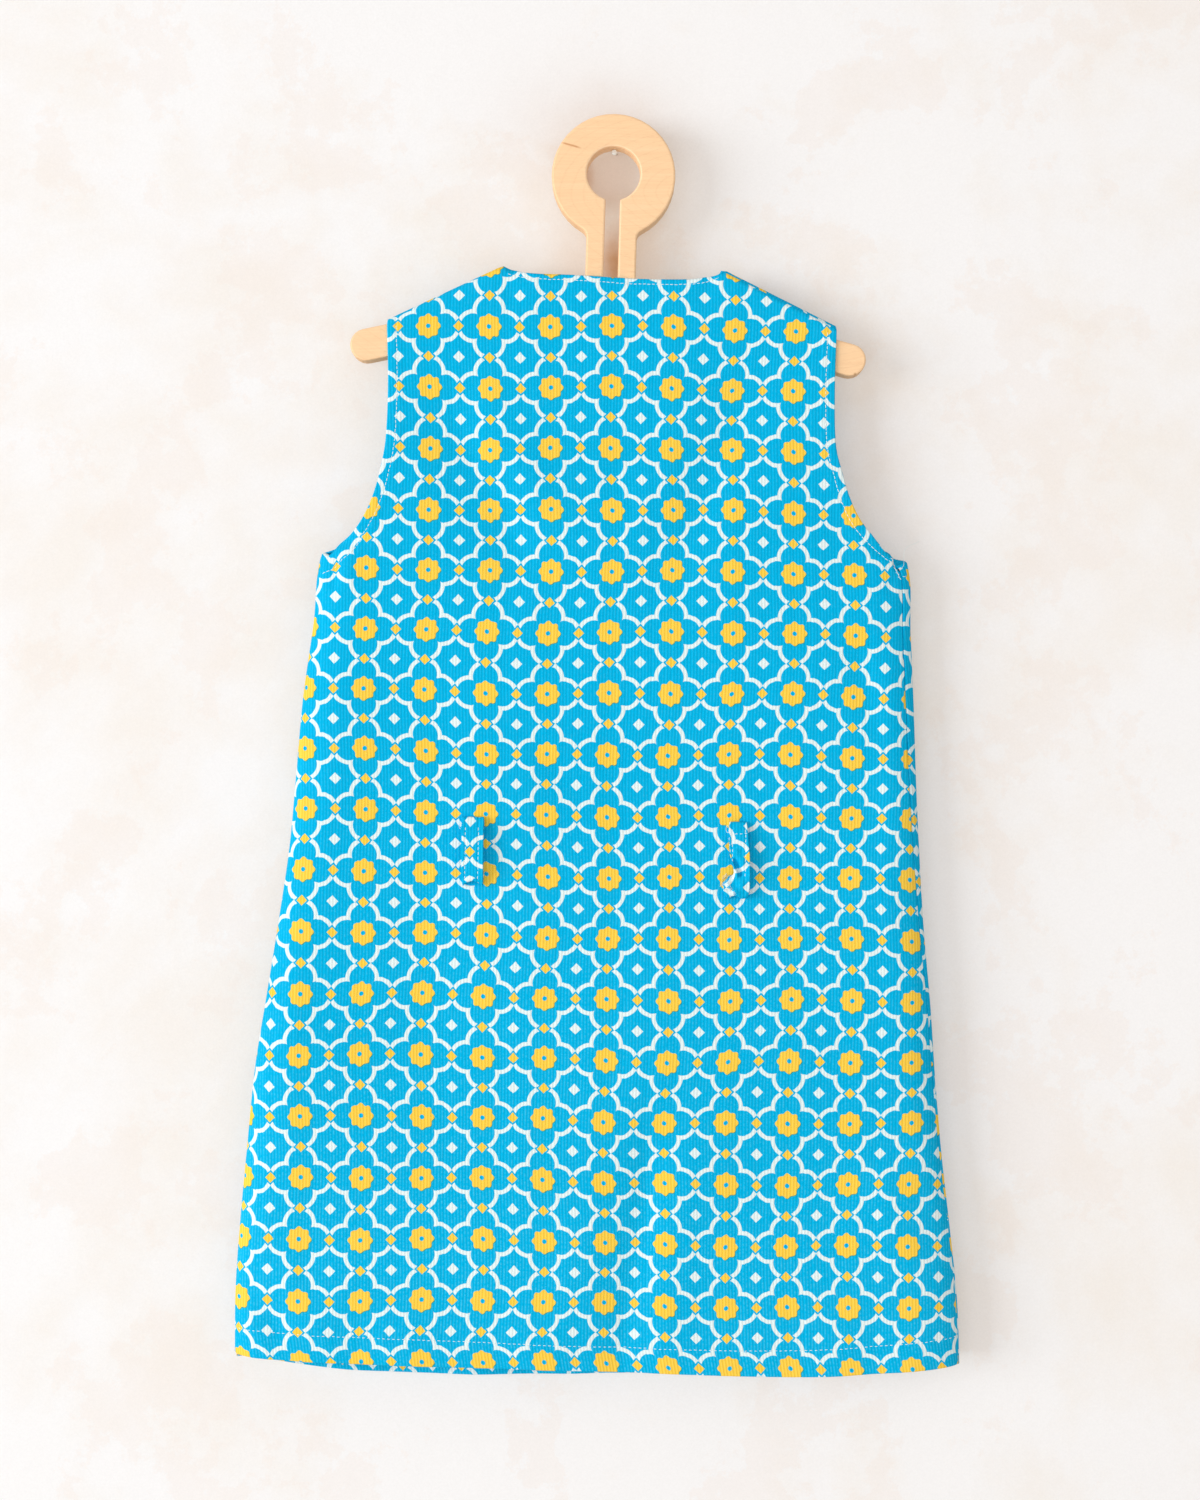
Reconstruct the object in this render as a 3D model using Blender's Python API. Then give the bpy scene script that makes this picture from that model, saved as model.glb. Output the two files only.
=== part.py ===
"""Child's sleeveless A-line sundress on a plywood keyhole hanger that hangs from a nail.

Metres, +Z up. The back of the dress faces -Y, its front faces the wall at +Y, and +X is to the
right of someone who looks at the back. The origin is where the nail carries the hanger: the top
of the hanger's hole, in the middle of its thickness.
"""

import math
from collections import namedtuple

import bmesh
import bpy
from mathutils import Matrix, Vector

# Cloth
WALL = 0.0012  # stiff ribbed cotton, with its turned edges pressed flat
SEAM_GAP = 0.0003
BACK, FRONT = -1, 1  # the side of the tube, as the sign of Y

# Heights on the dress
ARMPIT_Z = -0.2215
SHOULDER_TIP_Z = -0.0945
NECK_TIP_Z = -0.0645

# The neck: both necklines run between the tips of the shoulder seams.
NECK_HALF = 0.0594
BACK_NECK_DROP = 0.0064
BACK_NECK_SQUARENESS = 8  # a nearly straight edge with short steep ends
FRONT_NECK_DROP = 0.0500
FRONT_NECK_SQUARENESS = 2.4

# How the cloth turns over at the sides and over the hanger's arms
SIDE_FOLD = 0.0220
TOP_FOLD = 0.0045
TOP_DEPTH = 0.0064  # from the middle plane to the middle of the wall, over the arms
NECK_SPREAD = 0.0110  # the length at each end of a neckline in which it leaves the shoulder fold
ARMHOLE_SPREAD = 0.0150  # the height above the armpit in which the armhole's edges part

# The outer outline at each level, left and right of the hanger, and half the depth of the tube
Level = namedtuple("Level", "z left right depth")
LEVELS = (
    Level(-0.6600, 0.1953, 0.1974, 0.0100),
    Level(-0.6200, 0.1955, 0.1953, 0.0100),
    Level(-0.5800, 0.1933, 0.1906, 0.0100),
    Level(-0.5400, 0.1902, 0.1855, 0.0100),
    Level(-0.5000, 0.1868, 0.1816, 0.0099),
    Level(-0.4600, 0.1810, 0.1783, 0.0098),
    Level(-0.4200, 0.1752, 0.1742, 0.0096),
    Level(-0.3800, 0.1700, 0.1712, 0.0093),
    Level(-0.3400, 0.1670, 0.1688, 0.0089),
    Level(-0.3000, 0.1640, 0.1669, 0.0085),
    Level(-0.2600, 0.1590, 0.1646, 0.0081),
    Level(-0.2215, 0.1550, 0.1622, 0.0076),
    Level(-0.2175, 0.1465, 0.1540, 0.0075),
    Level(-0.2100, 0.1385, 0.1454, 0.0074),
    Level(-0.2000, 0.1325, 0.1362, 0.0073),
    Level(-0.1880, 0.1278, 0.1299, 0.0072),
    Level(-0.1750, 0.1243, 0.1248, 0.0070),
    Level(-0.1600, 0.1219, 0.1212, 0.0068),
    Level(-0.1300, 0.1208, 0.1209, 0.0065),
    Level(-0.0945, 0.1213, 0.1215, 0.0064),
)

# The two hems, from the left side to the right: the front one hangs lower on the left.
Hem = namedtuple("Hem", "x back front")
HEMS = (
    Hem(-0.1960, -0.6548, -0.6580),
    Hem(-0.1500, -0.6572, -0.6655),
    Hem(-0.0900, -0.6586, -0.6678),
    Hem(-0.0200, -0.6596, -0.6670),
    Hem(0.0500, -0.6606, -0.6645),
    Hem(0.1100, -0.6612, -0.6625),
    Hem(0.1550, -0.6584, -0.6592),
    Hem(0.1980, -0.6545, -0.6550),
)

# How far each side seam lies from the outline, towards the back on the right, the front on the left
Seam = namedtuple("Seam", "z left right")
SEAMS = (
    Seam(-0.6600, 0.0002, 0.0004),
    Seam(-0.5400, 0.0002, 0.0012),
    Seam(-0.4200, 0.0002, 0.0025),
    Seam(-0.3300, 0.0002, 0.0042),
    Seam(-0.2215, 0.0002, 0.0046),
)

# Where each shoulder seam lies on its fold, in degrees up from the back
SHOULDER_SEAM = {"left": -12, "right": 58}

# Soft troughs: the ends of each, half its width and how far it sinks in
Trough = namedtuple("Trough", "side x0 z0 x1 z1 width depth")
TROUGHS = (
    Trough(BACK, -0.104, -0.122, -0.034, -0.250, 0.017, 0.0016),
    Trough(BACK, 0.086, -0.090, 0.020, -0.275, 0.022, 0.0013),
    Trough(BACK, 0.036, -0.490, 0.006, -0.700, 0.013, 0.0020),
    Trough(BACK, 0.128, -0.245, 0.156, -0.400, 0.018, 0.0014),
    Trough(BACK, -0.108, -0.240, -0.102, -0.560, 0.028, 0.0009),
    Trough(BACK, -0.196, -0.600, -0.164, -0.650, 0.014, 0.0012),
    Trough(FRONT, 0.100, -0.118, 0.040, -0.260, 0.019, 0.0014),
    Trough(FRONT, -0.090, -0.110, -0.030, -0.270, 0.021, 0.0012),
    Trough(FRONT, -0.052, -0.470, -0.066, -0.700, 0.016, 0.0019),
    Trough(FRONT, 0.070, -0.520, 0.088, -0.700, 0.018, 0.0015),
    Trough(FRONT, 0.012, -0.260, 0.004, -0.480, 0.030, 0.0010),
)

TROUGH_INSET = 0.08  # the share of a panel's width at each side in which the troughs fade out

# Turned-up hems
HEM_DEPTH = 0.0146

# Belt loops: sewn down at both ends, with the middle standing off. Each row is one level down
# the strip: its two edges from the loop's middle line, and how far each edge stands off.
LOOP_WALL = 0.0016
LOOP_GAP = 0.0003
LoopRow = namedtuple("LoopRow", "down left right lift_left lift_right")
LOOPS = {
    "belt_loop_left": {
        "x": -0.0705,
        "z": -0.3620,
        "rows": (
            LoopRow(0.0000, 0.0062, 0.0062, 0.0000, 0.0000),
            LoopRow(0.0030, 0.0062, 0.0062, 0.0010, 0.0012),
            LoopRow(0.0080, 0.0060, 0.0062, 0.0024, 0.0026),
            LoopRow(0.0190, 0.0059, 0.0062, 0.0030, 0.0034),
            LoopRow(0.0290, 0.0060, 0.0064, 0.0024, 0.0030),
            LoopRow(0.0345, 0.0058, 0.0062, 0.0010, 0.0016),
            LoopRow(0.0380, 0.0054, 0.0058, 0.0000, 0.0001),
        ),
    },
    "belt_loop_right": {
        "x": 0.0724,
        "z": -0.3618,
        "rows": (
            LoopRow(0.0000, 0.0057, 0.0057, 0.0000, 0.0000),
            LoopRow(0.0040, 0.0057, 0.0057, 0.0006, 0.0010),
            LoopRow(0.0110, 0.0052, 0.0056, 0.0016, 0.0024),
            LoopRow(0.0200, 0.0040, 0.0058, 0.0022, 0.0036),
            LoopRow(0.0270, 0.0026, 0.0062, 0.0014, 0.0036),
            LoopRow(0.0340, 0.0046, 0.0062, 0.0012, 0.0028),
            LoopRow(0.0390, 0.0052, 0.0056, 0.0008, 0.0014),
            LoopRow(0.0415, 0.0040, 0.0044, 0.0000, 0.0001),
        ),
    },
}

# Hanger, upright; it hangs a little askew from the dress.
HANGER_TILT = math.radians(-0.9)
HANGER_THICKNESS = 0.0105
HANGER_EDGE = 0.0010  # rounding of its edges
HOLE_RADIUS = 0.0145
DISC_RADIUS = 0.0334
DISC_Z = -0.0157
DISC_FILLET = 0.0050
NECK_HALF_WIDTH = 0.0136
SLOT_HALF_WIDTH = 0.0039
SLOT_END_Z = -0.0735
SLOT_CORNER = 0.0013
ARM_SLOPE = math.radians(13.6)
ARM_HALF_HEIGHT = 0.00865
ARM_END_X = 0.13065
ARM_END_Z = -0.1111
ARM_FILLET = 0.0060
UNDER_FILLET = 0.0300

# Mesh density
OUTER_COLUMNS = 12  # from each side to the neck
CROWDING = 0.83  # how much closer together the columns are at the sides
NECK_COLUMNS = 12
BODY_ROWS = 22
CHEST_ROWS = 12
FOLD_ROWS = 4
RING_STEPS = 16  # straight pieces in each quarter of a side fold
NUDGE = 0.004  # the step that measures a surface's slope


def make_material(name, color, roughness):
    material = bpy.data.materials.new(name)
    material.use_nodes = True
    shader = material.node_tree.nodes["Principled BSDF"]
    shader.inputs["Base Color"].default_value = (*color, 1)
    shader.inputs["Roughness"].default_value = roughness
    shader.inputs["Metallic"].default_value = 0
    return material


def smooth(t):
    t = min(max(t, 0), 1)
    return t * t * (3 - 2 * t)


def mix(a, b, t):
    return a + (b - a) * t


def read(table, key, value, at):
    """The value column of a table at any place on its key column, on a smooth curve."""
    keys = [getattr(row, key) for row in table]
    values = [getattr(row, value) for row in table]
    last = len(keys) - 1
    at = min(max(at, keys[0]), keys[last])
    i = max(n for n in range(last) if keys[n] <= at)
    slopes = []
    for n in (i, i + 1):
        low, high = max(n - 1, 0), min(n + 1, last)
        slopes.append((values[high] - values[low]) / (keys[high] - keys[low]))
    span = keys[i + 1] - keys[i]
    t = (at - keys[i]) / span
    rise = values[i + 1] - values[i]
    ease = t * t * (3 - 2 * t)
    bend = slopes[0] * (t - 2 * t**2 + t**3) + slopes[1] * (t**3 - t**2)
    return values[i] + rise * ease + span * bend


def side_ring(z):
    """The closed section of the tube at a height: its points, each with its distance round.

    It starts at the left seam and runs over the back to the right seam, then over the front.
    """
    left = read(LEVELS, "z", "left", z) - WALL / 2
    right = read(LEVELS, "z", "right", z) - WALL / 2
    depth = read(LEVELS, "z", "depth", z)
    left_seam = math.acos(1 - read(SEAMS, "z", "left", z) / SIDE_FOLD)
    right_seam = math.acos(1 - read(SEAMS, "z", "right", z) / SIDE_FOLD)

    def turn(edge, inward, start, end, side):
        points = []
        for n in range(RING_STEPS + 1):
            angle = mix(start, end, n / RING_STEPS)
            x = edge + inward * SIDE_FOLD * (1 - math.cos(angle))
            points.append((x, side * depth * math.sin(angle)))
        return points

    quarter = math.pi / 2
    back = turn(-left, 1, left_seam, 0, FRONT)
    back += turn(-left, 1, 0, quarter, BACK)[1:]
    back += turn(right, -1, quarter, right_seam, BACK)
    front = turn(right, -1, right_seam, 0, BACK)
    front += turn(right, -1, 0, quarter, FRONT)[1:]
    front += turn(-left, 1, quarter, left_seam, FRONT)
    return back, front


def along(points, share, spare):
    """The point at a share of a line's length, which runs on straight past its ends."""
    lengths = [math.dist(a, b) for a, b in zip(points, points[1:])]
    total = sum(lengths)
    goal = mix(spare, total - spare, share)
    for i, length in enumerate(lengths):
        if goal <= length or i == len(lengths) - 1:
            t = goal / length
            return mix(points[i][0], points[i + 1][0], t), mix(points[i][1], points[i + 1][1], t)
        goal -= length


def top_line(side, x):
    """The height of the shoulder or neckline edge above a point of the shoulder's width."""
    if abs(x) >= NECK_HALF:
        tip = read(LEVELS, "z", "right" if x > 0 else "left", SHOULDER_TIP_Z)
        return mix(NECK_TIP_Z, SHOULDER_TIP_Z, (abs(x) - NECK_HALF) / (tip - NECK_HALF)) - WALL / 2
    drop, squareness = BACK_NECK_DROP, BACK_NECK_SQUARENESS
    if side == FRONT:
        drop, squareness = FRONT_NECK_DROP, FRONT_NECK_SQUARENESS
    return NECK_TIP_Z - WALL / 2 - drop * (1 - (abs(x) / NECK_HALF) ** squareness)


def trough_depth(side, x, z):
    """How far the soft troughs sink the cloth at a point."""
    total = 0
    for trough in TROUGHS:
        if trough.side != side:
            continue
        run = Vector((trough.x1 - trough.x0, trough.z1 - trough.z0))
        place = Vector((x - trough.x0, z - trough.z0))
        t = place.dot(run) / run.length_squared
        off = abs(place.x * run.y - place.y * run.x) / run.length
        ends = smooth(t / 0.3) * smooth((1 - t) / 0.3)
        total += trough.depth * ends * math.exp(-((off / trough.width) ** 2))
    return total


def panel_point(side, across, up):
    """A point of a panel's middle surface.

    across runs from 0 at its left edge to 1 at its right; up runs from 0 at the hem to 1 at the
    armpit, 2 where the shoulder fold starts and 3 at the shoulder seam or neckline.
    """
    share = across if side == BACK else 1 - across
    chest = min(max(up - 1, 0), 1)
    left_top = read(LEVELS, "z", "left", SHOULDER_TIP_Z)
    right_top = read(LEVELS, "z", "right", SHOULDER_TIP_Z)
    x_top = mix(-left_top, right_top, across)

    if up <= 1:
        hem_x = mix(-HEMS[-1].x, HEMS[-1].x, across)
        hem_z = read(HEMS, "x", "back" if side == BACK else "front", hem_x)
        z = level = mix(hem_z, ARMPIT_Z, up)
    else:
        level = mix(ARMPIT_Z, SHOULDER_TIP_Z - TOP_FOLD, chest)
        z = mix(ARMPIT_Z, top_line(side, x_top) - TOP_FOLD, chest)

    ring = side_ring(level)[0 if side == BACK else 1]
    x, y = along(ring, share, SEAM_GAP / 2)
    opened = smooth((level - ARMPIT_Z) / ARMHOLE_SPREAD)
    if opened > 0:
        depth = read(LEVELS, "z", "depth", level)
        x_open = mix(-read(LEVELS, "z", "left", level), read(LEVELS, "z", "right", level), across)
        x = mix(x, x_open, opened)
        y = mix(y, side * depth, opened)
    inset = smooth(min(across, 1 - across) / TROUGH_INSET)
    y -= side * inset * trough_depth(side, x, z)

    if up > 2:
        rolled = smooth((abs(x_top) - NECK_HALF + NECK_SPREAD) / NECK_SPREAD)
        seam = math.radians(SHOULDER_SEAM["right" if x_top > 0 else "left"])
        seam = side * -seam + SEAM_GAP / 2 / TOP_DEPTH
        angle = mix(math.pi / 2, seam, up - 2)
        top = top_line(side, x_top)
        z = mix(top + TOP_FOLD * (up - 3), top - TOP_FOLD * (1 - math.cos(angle)), rolled)
        y = mix(y, y * math.sin(angle), rolled)
    return Vector((x, y, z))


def panel_normal(side, across, up):
    """The direction out of the dress at a point of a panel."""
    over = panel_point(side, across + NUDGE, up) - panel_point(side, across - NUDGE, up)
    rise = panel_point(side, across, up + NUDGE) - panel_point(side, across, up - NUDGE)
    return (over.cross(rise) * -side).normalized()


def shell(name, grid, thickness, material):
    """A closed wall about a grid of (point, normal) pairs, half its thickness to each side."""
    bm = bmesh.new()
    layers = []
    for shift in (thickness / 2, -thickness / 2):
        layers.append([[bm.verts.new(point + normal * shift) for point, normal in row] for row in grid])
    outer, inner = layers
    rows, columns = len(grid), len(grid[0])
    for i in range(rows - 1):
        for j in range(columns - 1):
            for layer in layers:
                bm.faces.new((layer[i][j], layer[i][j + 1], layer[i + 1][j + 1], layer[i + 1][j]))
    rim = [(0, j) for j in range(columns)]
    rim += [(i, columns - 1) for i in range(1, rows)]
    rim += [(rows - 1, j) for j in range(columns - 2, -1, -1)]
    rim += [(i, 0) for i in range(rows - 2, 0, -1)]
    for (i, j), (k, m) in zip(rim, rim[1:] + rim[:1]):
        bm.faces.new((outer[i][j], outer[k][m], inner[k][m], inner[i][j]))
    bmesh.ops.recalc_face_normals(bm, faces=bm.faces)
    mesh = bpy.data.meshes.new(name)
    bm.to_mesh(mesh)
    bm.free()
    mesh.shade_smooth()
    mesh.set_sharp_from_angle(angle=math.radians(50))
    mesh.materials.append(material)
    obj = bpy.data.objects.new(name, mesh)
    bpy.context.scene.collection.objects.link(obj)
    return obj


def column_shares():
    """Shares across a panel: close together at the sides, with one on each tip of the neck."""
    left_top = read(LEVELS, "z", "left", SHOULDER_TIP_Z)
    right_top = read(LEVELS, "z", "right", SHOULDER_TIP_Z)
    left_tip = (left_top - NECK_HALF) / (left_top + right_top)
    right_tip = (left_top + NECK_HALF) / (left_top + right_top)
    outer = [mix(n / OUTER_COLUMNS, (n / OUTER_COLUMNS) ** 3, CROWDING) for n in range(OUTER_COLUMNS)]
    shares = [left_tip * t for t in outer]
    shares += [mix(left_tip, right_tip, n / NECK_COLUMNS) for n in range(NECK_COLUMNS + 1)]
    shares += [1 - (1 - right_tip) * t for t in reversed(outer)]
    return shares


def hem_heights():
    top = HEM_DEPTH / (ARMPIT_Z - HEMS[0].back)
    return [0, top / 2, top]


def row_heights():
    heights = hem_heights()
    heights += [mix(heights[-1], 1, n / BODY_ROWS) for n in range(1, BODY_ROWS)]
    heights += [1 + n / CHEST_ROWS for n in range(CHEST_ROWS)]
    heights += [2 + n / FOLD_ROWS for n in range(FOLD_ROWS + 1)]
    return heights


def panel(name, side, material):
    """The back or front of the dress, cut in one piece from the hem to the shoulders."""
    grid = []
    for up in row_heights():
        grid.append([(panel_point(side, a, up), panel_normal(side, a, up)) for a in column_shares()])
    return shell(name, grid, WALL, material)


def hem_turnup(name, side, material):
    """The inner layer of a hem: the cloth's end, turned up inside the panel."""
    shares = column_shares()[1:-1]
    grid = []
    for up in hem_heights():
        row = []
        for a in shares:
            normal = panel_normal(side, a, up)
            row.append((panel_point(side, a, up) - normal * (WALL + SEAM_GAP), normal))
        grid.append(row)
    return shell(name, grid, WALL, material)


def panel_depth(x, z):
    """The middle of the back panel's wall behind a point away from its sides."""
    return -read(LEVELS, "z", "depth", z) + trough_depth(BACK, x, z)


def belt_loop(name, x_middle, z_top, rows, material):
    """A strip of the dress's cloth, folded in three, that holds a belt against the back."""
    rest = WALL / 2 + LOOP_GAP + LOOP_WALL / 2
    steps = 14
    columns = 4
    outward = Vector((0, -1, 0))
    grid = []
    for n in range(steps + 1):
        down = rows[-1].down * n / steps
        left = read(rows, "down", "left", down)
        right = read(rows, "down", "right", down)
        line = []
        for m in range(columns + 1):
            t = m / columns
            x = x_middle + mix(-left, right, t)
            z = z_top - down
            lift = mix(read(rows, "down", "lift_left", down), read(rows, "down", "lift_right", down), t)
            line.append((Vector((x, panel_depth(x, z) - rest - lift, z)), outward))
        grid.append(line)
    return shell(name, grid, LOOP_WALL, material)


def arc(center, radius, start, end, steps):
    """Points on an arc in the hanger's plane, from one angle to another, both in degrees."""
    points = []
    for n in range(steps + 1):
        angle = math.radians(mix(start, end, n / steps))
        points.append((center[0] + radius * math.cos(angle), center[1] + radius * math.sin(angle)))
    return points


def hanger_outline():
    """The right half of the hanger's outline, from the top of its disc to the middle of its underside."""
    reach = DISC_RADIUS + DISC_FILLET
    fillet_x = NECK_HALF_WIDTH + DISC_FILLET
    fillet_z = DISC_Z - math.sqrt(reach**2 - fillet_x**2)
    disc_end = math.degrees(math.atan2(fillet_z - DISC_Z, fillet_x))
    points = arc((0, DISC_Z), DISC_RADIUS, 90, disc_end, 18)
    points += arc((fillet_x, fillet_z), DISC_FILLET, disc_end + 180, 180, 5)

    slope = math.tan(ARM_SLOPE)
    half = ARM_HALF_HEIGHT / math.cos(ARM_SLOPE)
    middle_z = ARM_END_Z + ARM_END_X * slope
    tilt = math.degrees(ARM_SLOPE)
    arm_x = NECK_HALF_WIDTH + ARM_FILLET
    arm_z = middle_z + half - slope * arm_x + ARM_FILLET / math.cos(ARM_SLOPE)
    points += arc((arm_x, arm_z), ARM_FILLET, 180, 270 - tilt, 5)
    points += arc((ARM_END_X, ARM_END_Z), ARM_HALF_HEIGHT, 90 - tilt, -90 - tilt, 12)
    under_z = middle_z - half - UNDER_FILLET / math.cos(ARM_SLOPE)
    points += arc((0, under_z), UNDER_FILLET, 90 - tilt, 90, 4)
    return points


def keyhole_outline():
    """The right half of the keyhole, from the top of the hole to the foot of the slot."""
    corner_x = SLOT_HALF_WIDTH + SLOT_CORNER
    corner_z = -HOLE_RADIUS - math.sqrt((HOLE_RADIUS + SLOT_CORNER) ** 2 - corner_x**2)
    hole_end = math.degrees(math.atan2(corner_z + HOLE_RADIUS, corner_x))
    points = arc((0, -HOLE_RADIUS), HOLE_RADIUS, 90, hole_end, 14)
    points += arc((corner_x, corner_z), SLOT_CORNER, hole_end + 180, 180, 3)
    points += arc((0, SLOT_END_Z + SLOT_HALF_WIDTH), SLOT_HALF_WIDTH, 0, -90, 5)
    return points


def hanger(name, material):
    """A board cut to a disc with a keyhole, a neck and two sloping arms, with its edges eased."""
    curve = bpy.data.curves.new(name, "CURVE")
    curve.dimensions = "2D"
    curve.fill_mode = "BOTH"
    curve.extrude = HANGER_THICKNESS / 2 - HANGER_EDGE
    curve.bevel_depth = HANGER_EDGE
    curve.bevel_resolution = 1
    curve.offset = -HANGER_EDGE
    for half in (hanger_outline(), keyhole_outline()):
        points = half + [(-x, z) for x, z in reversed(half[1:-1])]
        spline = curve.splines.new("POLY")
        spline.points.add(len(points) - 1)
        for point, (x, z) in zip(spline.points, points):
            point.co = (x, z, 0, 1)
        spline.use_cyclic_u = True
    curve.materials.append(material)
    obj = bpy.data.objects.new(name, curve)
    obj.matrix_world = Matrix.Rotation(-HANGER_TILT, 4, "Y") @ Matrix.Rotation(math.pi / 2, 4, "X")
    bpy.context.scene.collection.objects.link(obj)
    return obj


for old in list(bpy.data.objects):
    bpy.data.objects.remove(old, do_unlink=True)

cloth = make_material("printed_cotton", (0.02, 0.45, 0.73), 0.85)
wood = make_material("maple_plywood", (0.96, 0.66, 0.38), 0.5)

panel("back_panel", BACK, cloth)
panel("front_panel", FRONT, cloth)
hem_turnup("back_hem_turnup", BACK, cloth)
hem_turnup("front_hem_turnup", FRONT, cloth)
for loop_name, loop in LOOPS.items():
    belt_loop(loop_name, loop["x"], loop["z"], loop["rows"], cloth)
hanger("hanger", wood)
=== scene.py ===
"""Child's sleeveless A-line sundress, hanging flat on a wooden keyhole hanger. Metres, +Z up.

The back of the dress faces -Y and its front faces the wall, at +Y.
"""

import math

import bmesh
import bpy
import numpy as np
from mathutils import Matrix, Vector
from mathutils.bvhtree import BVHTree


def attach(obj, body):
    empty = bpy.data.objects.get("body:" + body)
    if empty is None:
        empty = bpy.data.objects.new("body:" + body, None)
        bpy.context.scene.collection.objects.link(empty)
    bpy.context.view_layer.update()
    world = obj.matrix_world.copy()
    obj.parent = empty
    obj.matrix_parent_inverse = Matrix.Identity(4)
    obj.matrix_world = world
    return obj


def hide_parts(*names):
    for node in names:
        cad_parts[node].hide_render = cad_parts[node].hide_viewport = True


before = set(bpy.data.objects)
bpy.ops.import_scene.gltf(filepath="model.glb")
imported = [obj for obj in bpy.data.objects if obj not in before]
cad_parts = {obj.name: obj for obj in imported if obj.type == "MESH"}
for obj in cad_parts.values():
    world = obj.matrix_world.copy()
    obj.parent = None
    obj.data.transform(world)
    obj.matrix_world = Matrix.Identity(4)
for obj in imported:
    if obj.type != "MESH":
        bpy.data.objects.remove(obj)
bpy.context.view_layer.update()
scene = bpy.context.scene


# ---------------------------------------------------------------------------
# Printed ribbed cotton: the cloth of the whole dress. A stiff cotton with ribs down its length,
# printed on one side in blue, white and yellow, so that its wrong side is paler. The print is a
# trellis of quatrefoils with a scalloped rosette in each.

RIB = 0.00173
WEFT = 0.00044
REPEAT = 0.0328  # from one quatrefoil to the next
# Sizes in the print, in metres
BAND_HALF = 0.00108
FLOWER_EYE = 0.00125
PRINT_SOFT = 0.00025
# Sizes in the print, as shares of the repeat
LOBE_MIDDLE = 0.26
LOBE = 0.24
BAND_END = 0.128
LOZENGE = 0.088
WHITE_MARK = 0.095
ROSETTE = 0.19
SCALLOPS, SCALLOP_DEPTH = 8, 0.085
SLIPPED_INK = (0.0003, -0.00034)  # how far the yellow ink's dark rim lies from its middle
BLUE = (0.000, 0.474, 0.828, 1)
WHITE = (0.785, 0.925, 0.945, 1)
YELLOW = (1.00, 0.64, 0.065, 1)
YELLOW_RIDGE_HIGHLIGHT = (1.00, 0.72, 0.14, 1)
OVERLAP_GREEN = (0.03, 0.30, 0.22, 1)
PALE_DASH = (0.26, 0.80, 0.92, 1)
WRONG_SIDE = (0.50, 0.74, 0.82, 1)


class Wire:
    """The value at one socket of a material; sums on it add the nodes that work them out."""

    def __init__(self, tree, socket=None):
        self.tree = tree
        self.socket = socket

    def node(self, kind, settings, inputs, output=0):
        """Adds any node, with its settings first and then its inputs, and gives one output."""
        made = self.tree.nodes.new(kind)
        for name, value in settings.items():
            if name == "stops":
                stops = made.color_ramp.elements
                while len(stops) < len(value):
                    stops.new(1)
                for stop, (at, color) in zip(stops, value):
                    stop.position = at
                    stop.color = color
            else:
                setattr(made, name, value)
        for name, value in inputs.items():
            if isinstance(value, Wire):
                self.tree.links.new(value.socket, made.inputs[name])
            else:
                made.inputs[name].default_value = value
        return Wire(self.tree, made.outputs[output] if len(made.outputs) else None)

    def maths(self, operation, *values):
        return self.node("ShaderNodeMath", {"operation": operation}, dict(enumerate(values)))

    def parts(self):
        """The three measures of a place."""
        first = self.node("ShaderNodeSeparateXYZ", {}, {0: self})
        return [Wire(self.tree, output) for output in first.socket.node.outputs]

    def place(self, x, y, z=0):
        """A place from its measures."""
        return self.node("ShaderNodeCombineXYZ", {}, {0: x, 1: y, 2: z})

    def noise(self, detail, scale=1, roughness=0.5, dimensions="3D"):
        """A cloudy pattern, 0 to 1, over this place."""
        inputs = {"Vector": self, "Scale": scale, "Detail": detail, "Roughness": roughness}
        return self.node("ShaderNodeTexNoise", {"noise_dimensions": dimensions}, inputs)

    def larger(self, other):
        return self.maths("MAXIMUM", self, other)

    def reach(self, other):
        """The distance from the origin, where this value and another are the measures."""
        return self.maths("SQRT", self * self + other * other)

    def bell(self):
        """1 where this value is 0, falling away on both sides."""
        return self.maths("EXPONENT", 0 - self * self)

    def relief(self, strength, distance):
        """The surface's normal, with this value as its height."""
        inputs = {"Strength": strength, "Distance": distance, "Height": self}
        return self.node("ShaderNodeBump", {}, inputs)

    def blend(self, a, b):
        """The colour a where this value is 0 and b where it is 1."""
        return self.node("ShaderNodeMix", {"data_type": "RGBA"}, {0: self, 6: a, 7: b}, output=2)

    def within(self, softness):
        """1 where this distance is below zero and 0 above it, with a soft edge."""
        settings = {"operation": "MULTIPLY_ADD", "use_clamp": True}
        return self.node("ShaderNodeMath", settings, {0: self, 1: -1 / softness, 2: 0.5})

    def tinted(self, color):
        """A colour made lighter or darker by this value."""
        return self.node("ShaderNodeVectorMath", {"operation": "SCALE"}, {0: color, "Scale": self})

    def __add__(self, other):
        return self.maths("ADD", self, other)

    def __radd__(self, other):
        return self.maths("ADD", other, self)

    def __sub__(self, other):
        return self.maths("SUBTRACT", self, other)

    def __rsub__(self, other):
        return self.maths("SUBTRACT", other, self)

    def __mul__(self, other):
        return self.maths("MULTIPLY", self, other)

    def __rmul__(self, other):
        return self.maths("MULTIPLY", other, self)

    def __truediv__(self, other):
        return self.maths("DIVIDE", self, other)

    def __rtruediv__(self, other):
        return self.maths("DIVIDE", other, self)

    def __abs__(self):
        return self.maths("ABSOLUTE", self)


def new_material(name):
    """An empty material, and the wire that its nodes start from."""
    material = bpy.data.materials.new(name)
    material.use_nodes = True
    material.node_tree.nodes.clear()
    return material, Wire(material.node_tree)


def finish_material(start, inputs):
    """The shader and the output that end a material."""
    shader = start.node("ShaderNodeBsdfPrincipled", {}, inputs)
    start.node("ShaderNodeOutputMaterial", {}, {"Surface": shader})


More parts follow.
